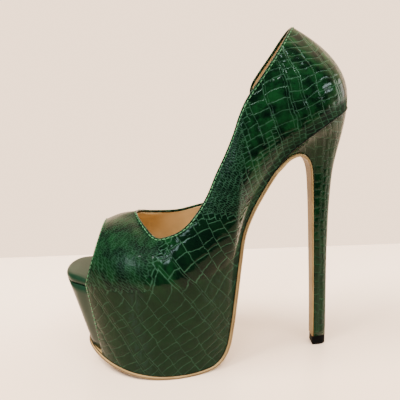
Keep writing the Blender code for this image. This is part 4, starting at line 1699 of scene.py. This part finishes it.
@dataclass
class Seams:
    """Joint lines between the parts and along the sole's edge, as thin cords."""

    last: Last
    origin: Origin
    around: int = 8
    steps: int = 120
    heel_radius: float = 0.42
    heel_out: float = -0.02
    sole_radius: float = 0.28
    sole_out: float = -0.10
    joint_drop: float = 0.15
    edge_radius: float = 0.32
    edge_depth: float = 0.2
    overlap: float = 0.2
    edge_short: float = 0.4

    def _along_foot(self, start: float, end: float, side: Side, out: float, drop: float) -> np.ndarray:
        """Points along the lower edge of the upper."""
        stations = np.linspace(start, end, self.steps)
        points = self.last.place(self.last.foot.at(stations), stations, side)
        away = self.last.outward(self.last.foot, stations, side)
        step = unit(np.gradient(points, axis=0))
        below = np.stack([step[:, 2], np.zeros(len(step)), -np.abs(step[:, 0])], axis=1)
        return points + away * out + unit(below) * drop

    def _cord(
        self, name: str, path: np.ndarray, radius: float, finish: Finish, slot: str
    ) -> bpy.types.Object:
        """Cord with closed ends along a path.

        Args:
            name: Name of the piece.
            path: Points that it follows.
            radius: Half of its thickness, in millimetres.
            finish: Its finish.
            slot: Not used.

        Returns:
            The piece.
        """
        ahead = unit(np.gradient(path, axis=0))
        side = unit(np.cross(ahead, np.array([0.0, 0.0, 1.0]) + ahead * 1e-3))
        up = np.cross(side, ahead)
        rings = []
        for k in range(self.around + 1):
            turn = 2.0 * math.pi * k / self.around
            rings.append(path + (side * math.cos(turn) + up * math.sin(turn)) * radius)
        grid = np.stack(rings, axis=1)
        patches = [Patch(grid, grid[..., [0, 2]])]
        for end in (0, -1):
            cap = np.stack([grid[end], np.tile(path[end], (self.around + 1, 1))])
            patches.append(Patch(cap, cap[..., [0, 2]], flip=end == 0))
        return dress(name, face_outwards(build_mesh(name, patches, self.origin)), finish, slot)

    def heel_line(self) -> bpy.types.Object:
        """Joint between upper and heel."""
        start = HEEL_START - self.overlap
        near, far = (self._along_foot(start, BACK, s, self.heel_out, self.joint_drop) for s in Side)
        path = np.concatenate([near, far[::-1][1:]])
        return self._cord("heel_joint_line", path, self.heel_radius, Finish.DARK, "heel")

    def sole_line(self) -> bpy.types.Object:
        """Joint between upper and outsole."""
        near, far = (self._along_foot(0.0, HEEL_START, s, self.sole_out, self.joint_drop) for s in Side)
        path = np.concatenate([near[::-1], far[1:]])
        return self._cord("sole_joint_line", path, self.sole_radius, Finish.DARK, "outsole")

    def edge_line(self, bottom: Bottom) -> bpy.types.Object:
        """Darker line along the middle of the sole's edge.

        Args:
            bottom: Sole parts, for the sheet's sizes.

        Returns:
            The piece.
        """
        out, drop = bottom.sole_edge - self.edge_depth, bottom.clearance + bottom.sole / 2.0
        end = HEEL_START - self.edge_short
        near, far = (self._along_foot(0.0, end, s, out, drop) for s in Side)
        path = np.concatenate([near[::-1], far[1:]])
        return self._cord("sole_edge_line", path, self.edge_radius, Finish.EDGE, "outsole")


@dataclass
class Stitching:
    """Rows of stitches that follow the open edges, made with Geometry Nodes, in millimetres."""

    upper: Upper
    origin: Origin
    inset: float = 1.4
    pitch: float = 2.8
    length: float = 1.9
    radius: float = 0.26
    bury: float = 0.9
    bow: float = 1.5
    lift: float = 0.15
    resolution: int = 8
    scales: Span = (0.88, 1.08)
    skip: int = 6
    smoothing: int = 12
    seed: int = 7

    def _tree(self) -> bpy.types.NodeTree:
        """Node group: curve from the mesh, even points, one curved stitch on each."""
        tree = bpy.data.node_groups.new("stitch_row", "GeometryNodeTree")
        face = tree.interface
        face.new_socket("Geometry", in_out="INPUT", socket_type="NodeSocketGeometry")
        for name, kind in (
            ("Pitch", "NodeSocketFloat"),
            ("Length", "NodeSocketFloat"),
            ("Radius", "NodeSocketFloat"),
            ("Seed", "NodeSocketInt"),
            ("Thread", "NodeSocketMaterial"),
        ):
            face.new_socket(name, in_out="INPUT", socket_type=kind)
        face.new_socket("Geometry", in_out="OUTPUT", socket_type="NodeSocketGeometry")
        g = Nodes(tree)
        entry = g.node("NodeGroupInput", {}, {})
        pitch, length, radius, seed = (g.wire(entry, n) for n in ("Pitch", "Length", "Radius", "Seed"))

        curve = g.wire(g.node("GeometryNodeMeshToCurve", {}, {"Mesh": g.wire(entry, "Geometry")}))
        even = g.node("GeometryNodeResampleCurve", {"mode": "LENGTH"}, {"Curve": curve, "Length": pitch})
        tangent = g.wire(g.node("GeometryNodeInputTangent", {}, {}))
        skin = g.node("GeometryNodeInputNamedAttribute", {"data_type": "FLOAT_VECTOR"}, {"Name": "skin"})
        along = g.node("FunctionNodeAlignRotationToVector", {"axis": "X"}, {"Vector": tangent})
        upright = g.node(
            "FunctionNodeAlignRotationToVector",
            {"axis": "Z", "pivot_axis": "X"},
            {"Rotation": g.wire(along), "Vector": g.wire(skin, "Attribute")},
        )

        half, deep = length * 0.5, radius * -self.bury
        start = g.wire(g.node("ShaderNodeCombineXYZ", {}, {0: half * -1.0, 2: deep}))
        middle = g.wire(g.node("ShaderNodeCombineXYZ", {}, {2: radius * self.bow}))
        end = g.wire(g.node("ShaderNodeCombineXYZ", {}, {0: half, 2: deep}))
        arch = {"Resolution": self.resolution, "Start": start, "Middle": middle, "End": end}
        bow = g.wire(g.node("GeometryNodeCurveQuadraticBezier", {}, arch))
        ring = {"Resolution": self.resolution, "Radius": radius}
        round_wire = g.wire(g.node("GeometryNodeCurvePrimitiveCircle", {"mode": "RADIUS"}, ring))
        tube = {"Curve": bow, "Profile Curve": round_wire, "Fill Caps": True}
        stitch = g.node("GeometryNodeCurveToMesh", {}, tube)

        low, high = self.scales
        limits = {"Min": low, "Max": high, "Seed": seed}
        scale = g.node("FunctionNodeRandomValue", {"data_type": "FLOAT"}, limits)
        each = {
            "Points": g.wire(even),
            "Instance": g.wire(stitch),
            "Rotation": g.wire(upright),
            "Scale": Wire(g, next(s for s in scale.outputs if s.enabled)),
        }
        placed = g.node("GeometryNodeInstanceOnPoints", {}, each)
        solid = g.node("GeometryNodeRealizeInstances", {}, {"Geometry": g.wire(placed)})
        smooth = g.node("GeometryNodeSetShadeSmooth", {}, {"Geometry": g.wire(solid)})
        thread = {"Geometry": g.wire(smooth), "Material": g.wire(entry, "Thread")}
        g.node("NodeGroupOutput", {}, {"Geometry": g.wire(g.node("GeometryNodeSetMaterial", {}, thread))})
        return tree

    def _paths(self, skin: bpy.types.Object) -> list[tuple[np.ndarray, np.ndarray]]:
        """Points and skin directions of each row, dropped on the leather."""
        upper = self.upper
        behind = slice(upper.throat, None)
        back = self.inset - upper.wall / 2.0
        collar, peep = [], []
        for side in Side:
            grid = upper.grids[side]
            collar.append(grid[behind, -1] - upper.out[side][behind] * back)
            peep.append((grid[0] - unit(grid[0] - grid[1]) * back)[self.skip :])
        whole = [
            np.concatenate([collar[0][::-1][:-1], collar[1][1:]]),
            np.concatenate([peep[0][:-1], peep[1][::-1]]),
        ]
        tree = BVHTree.FromObject(skin, bpy.context.evaluated_depsgraph_get())
        found = []
        for line in whole:
            hits = [tree.find_nearest(Vector(point)) for point in self.origin.to_frame(line)]
            spots, ways = np.array([h[0] for h in hits]), np.array([h[1] for h in hits])
            for _ in range(self.smoothing):
                ways[1:-1] = (ways[:-2] + ways[1:-1] + ways[2:]) / 3.0
            found.append((spots, unit(ways)))
        return found

    def build(self, skin: bpy.types.Object) -> bpy.types.Object:
        """Build the stitches on the leather."""
        spots, ways, edges = [], [], []
        start = 0
        for points, normals in self._paths(skin):
            spots.append(points + normals * self.radius * self.lift * MM)
            ways.append(normals)
            edges.extend((start + k, start + k + 1) for k in range(len(points) - 1))
            start += len(points)
        mesh = bpy.data.meshes.new("stitch_path")
        mesh.from_pydata(np.concatenate(spots).tolist(), edges, [])
        layer = mesh.attributes.new("skin", "FLOAT_VECTOR", "POINT")
        layer.data.foreach_set("vector", np.concatenate(ways).astype(np.float32).ravel())
        path = bpy.data.objects.new("stitch_path", mesh)
        bpy.context.scene.collection.objects.link(path)
        tree = self._tree()
        modifier = path.modifiers.new("stitches", "NODES")
        modifier.node_group = tree
        values = {
            "Pitch": self.pitch * MM,
            "Length": self.length * MM,
            "Radius": self.radius * MM,
            "Seed": self.seed,
            "Thread": dressed(Finish.THREAD),
        }
        for item in tree.interface.items_tree:
            if item.item_type == "SOCKET" and item.in_out == "INPUT" and item.name in values:
                modifier[item.identifier] = values[item.name]
        ready = path.evaluated_get(bpy.context.evaluated_depsgraph_get())
        plain = bpy.data.meshes.new_from_object(ready)
        bpy.data.objects.remove(path, do_unlink=True)
        bpy.data.meshes.remove(mesh)
        thing = bpy.data.objects.new("edge_stitches", plain)
        bpy.context.scene.collection.objects.link(thing)
        return settle(thing, "upper")


@dataclass(frozen=True)
class Lamp:
    """Soft box that faces a point; its places and sides are in metres."""

    name: str
    place: Triple
    aim: Triple
    sides: tuple[float, float]
    watts: float
    tint: Triple
    mirrored: bool = True

    def hang(self) -> None:
        """Add the light."""
        data = bpy.data.lights.new(self.name, "AREA")
        data.shape = "RECTANGLE"
        data.size, data.size_y = self.sides
        data.energy = self.watts
        data.color = self.tint
        lamp = bpy.data.objects.new(self.name, data)
        bpy.context.scene.collection.objects.link(lamp)
        lamp.visible_glossy = self.mirrored
        lamp.visible_camera = False
        lamp.location = self.place
        way = Vector(self.aim) - Vector(self.place)
        lamp.rotation_euler = way.to_track_quat("-Z", "Y").to_euler()


DAYLIGHT = (0.85, 0.92, 1.0)
PALE = (0.95, 0.97, 1.0)
LAMPS = [
    Lamp("window", (-0.72, -1.22, 0.84), (-0.10, -0.03, 0.08), (0.30, 0.36), 11.0, (0.80, 0.90, 1.0)),
    Lamp("lamp_top", (0.48, -0.72, 1.26), (0.0, 0.0, 0.2), (0.12, 0.16), 4.0, DAYLIGHT),
    Lamp("lamp_near", (0.30, -1.25, 0.95), (0.0, 0.0, 0.12), (0.09, 0.09), 3.0, PALE),
    Lamp("lamp_far", (-0.25, -1.0, 1.35), (0.0, 0.0, 0.12), (0.09, 0.09), 3.0, PALE),
    Lamp("lamp_right", (1.24, -0.86, 0.61), (0.07, 0.0, 0.17), (0.14, 0.20), 4.0, DAYLIGHT),
    Lamp("lamp_low", (1.05, -1.13, 0.27), (0.06, 0.0, 0.17), (0.10, 0.08), 1.2, DAYLIGHT),
    Lamp("side_window", (1.35, -0.02, 0.26), (0.08, 0.0, 0.17), (0.8, 0.9), 22.0, (1.0, 0.97, 0.90)),
    Lamp("main", (-1.0, -0.35, 1.7), (0.0, 0.0, 0.05), (0.9, 0.9), 145.0, (1.0, 0.88, 0.76), False),
    Lamp("fill", (0.5, -1.2, 2.2), (0.0, 0.0, 0.05), (2.0, 1.6), 90.0, (1.0, 0.90, 0.80), False),
]


@dataclass
class Studio:
    """Floor, world, lights and camera.

    The camera's place and the floor's two edges are in millimetres from the tables' origin, its
    turns are in radians, and its focal length and centre are in pixels of the picture.
    """

    origin: Origin
    camera_place: Triple = (-93.79, -314.0, 181.8)
    yaw: float = 0.0391
    pitch: float = 0.2372
    roll: float = -0.0232
    focal: float = 496.4
    centre: float = 199.7
    picture: float = 400.0
    sensor: float = 36.0
    near_clip: float = 0.01
    floor_reach: float = 6.0
    back_edge: float = 200.0
    front_edge: float = 240.0
    floor_near_painted_shade: Colour = (0.64, 0.51, 0.39, 1.0)
    floor_far: Colour = (0.86, 0.74, 0.62, 1.0)
    floor_painted_shade_fade: Span = (-0.10, 0.14)
    floor_cloud: float = 0.3
    air_tint: Colour = (1.0, 0.72, 0.50, 1.0)
    room: float = 0.05
    wall: float = 3.0
    wall_way: tuple[float, float] = (0.6, 0.8)
    wall_fade: Span = (-0.05, 0.42)
    ceiling: float = 0.6
    ceiling_fade: Span = (0.45, 0.95)
    seen_wall: float = 3.0

    def camera(self) -> None:
        """Camera at the photograph's place, angle and view."""
        sin_yaw, cos_yaw = math.sin(self.yaw), math.cos(self.yaw)
        sin_pitch, cos_pitch = math.sin(self.pitch), math.cos(self.pitch)
        ahead = Vector((sin_yaw * cos_pitch, cos_yaw * cos_pitch, -sin_pitch))
        right = Vector((cos_yaw, -sin_yaw, 0.0))
        up = right.cross(ahead)
        turned = right * math.cos(self.roll) + up * math.sin(self.roll)
        raised = up * math.cos(self.roll) - right * math.sin(self.roll)
        data = bpy.data.cameras.new("camera")
        data.sensor_width = self.sensor
        data.lens = self.sensor * self.focal / self.picture
        data.shift_y = (self.centre - self.picture / 2) / self.picture
        data.dof.use_dof = False
        data.clip_start = self.near_clip
        camera = bpy.data.objects.new("camera", data)
        bpy.context.scene.collection.objects.link(camera)
        matrix = Matrix((turned, raised, -ahead)).transposed().to_4x4()
        matrix.translation = Vector(self.origin.to_frame(np.array(self.camera_place)))
        camera.matrix_world = matrix
        bpy.context.scene.camera = camera

    def floor(self) -> None:
        """Pale glossy floor that ends before and behind the shoe, with painted shade: darker towards the
        front.
        """
        mesh = bpy.data.meshes.new("floor")
        reach = self.floor_reach
        near = self.origin.shift[1] - self.front_edge * MM
        far = self.origin.shift[1] + self.back_edge * MM
        corners = [(-reach, near, 0.0), (reach, near, 0.0), (reach, far, 0.0), (-reach, far, 0.0)]
        mesh.from_pydata(corners, [], [(0, 1, 2, 3)])
        g = Graph("pale_floor")
        place = g.wire(g.node("ShaderNodeTexCoord", {}, {}), "Object")
        cloud = g.noise(place, 6.0, 3.0)
        # Painted shade: the floor's colour darkens towards the front, standing in for the light's falloff.
        depth = g.wire(g.node("ShaderNodeSeparateXYZ", {}, {0: place}), "Y").step(*self.floor_painted_shade_fade)
        share = depth * (1.0 - self.floor_cloud) + cloud * self.floor_cloud
        colour = g.blend(share, self.floor_near_painted_shade, self.floor_far)
        material = g.dress(Base_Color=colour, Roughness=0.3, Coat_Weight=0.25, Coat_Roughness=0.12)
        link_mesh("floor", mesh, material)

    def air(self) -> None:
        """World: a pale wall behind the shoe, a dim room before it and a soft ceiling."""
        world = bpy.data.worlds.new("studio_air")
        bpy.context.scene.world = world
        world.use_nodes = True
        g = Nodes(world.node_tree)
        place = g.wire(g.node("ShaderNodeTexCoord", {}, {}), "Generated")
        parts = g.node("ShaderNodeSeparateXYZ", {}, {0: place})
        lean = g.wire(parts, "Y") * self.wall_way[1] + g.wire(parts, "X") * self.wall_way[0]
        behind = lean.step(*self.wall_fade) * (self.wall - self.room)
        above = g.wire(parts, "Z").step(*self.ceiling_fade) * self.ceiling
        sight = g.wire(g.node("ShaderNodeLightPath", {}, {}), "Is Camera Ray")
        unseen = behind + above + self.room
        level = unseen + sight * (self.seen_wall - unseen)
        back = g.node("ShaderNodeBackground", {}, {"Color": self.air_tint, "Strength": level})
        g.node("ShaderNodeOutputWorld", {}, {"Surface": g.wire(back)})

    def build(self) -> None:
        """Build the studio."""
        self.camera()
        self.floor()
        self.air()
        for lamp in LAMPS:
            lamp.hang()


def main() -> None:
    """Build every piece around the frame."""
    origin = Origin()
    last = Last()
    upper = Upper(last, origin)
    skin = upper.leather()
    upper.lining()
    heel = Heel(last, origin)
    bottom = Bottom(last, origin)
    bottom.platform()
    bottom.insole()
    bottom.sock_lining()
    bottom.outsole(heel)
    heel.block()
    heel.tip()
    seams = Seams(last, origin)
    seams.heel_line()
    seams.sole_line()
    seams.edge_line(bottom)
    Stitching(upper, origin).build(skin)
    Studio(origin).build()
    bpy.context.view_layer.update()


if __name__ == "__main__":
    logging.basicConfig(level=logging.INFO, format="%(message)s")
    main()
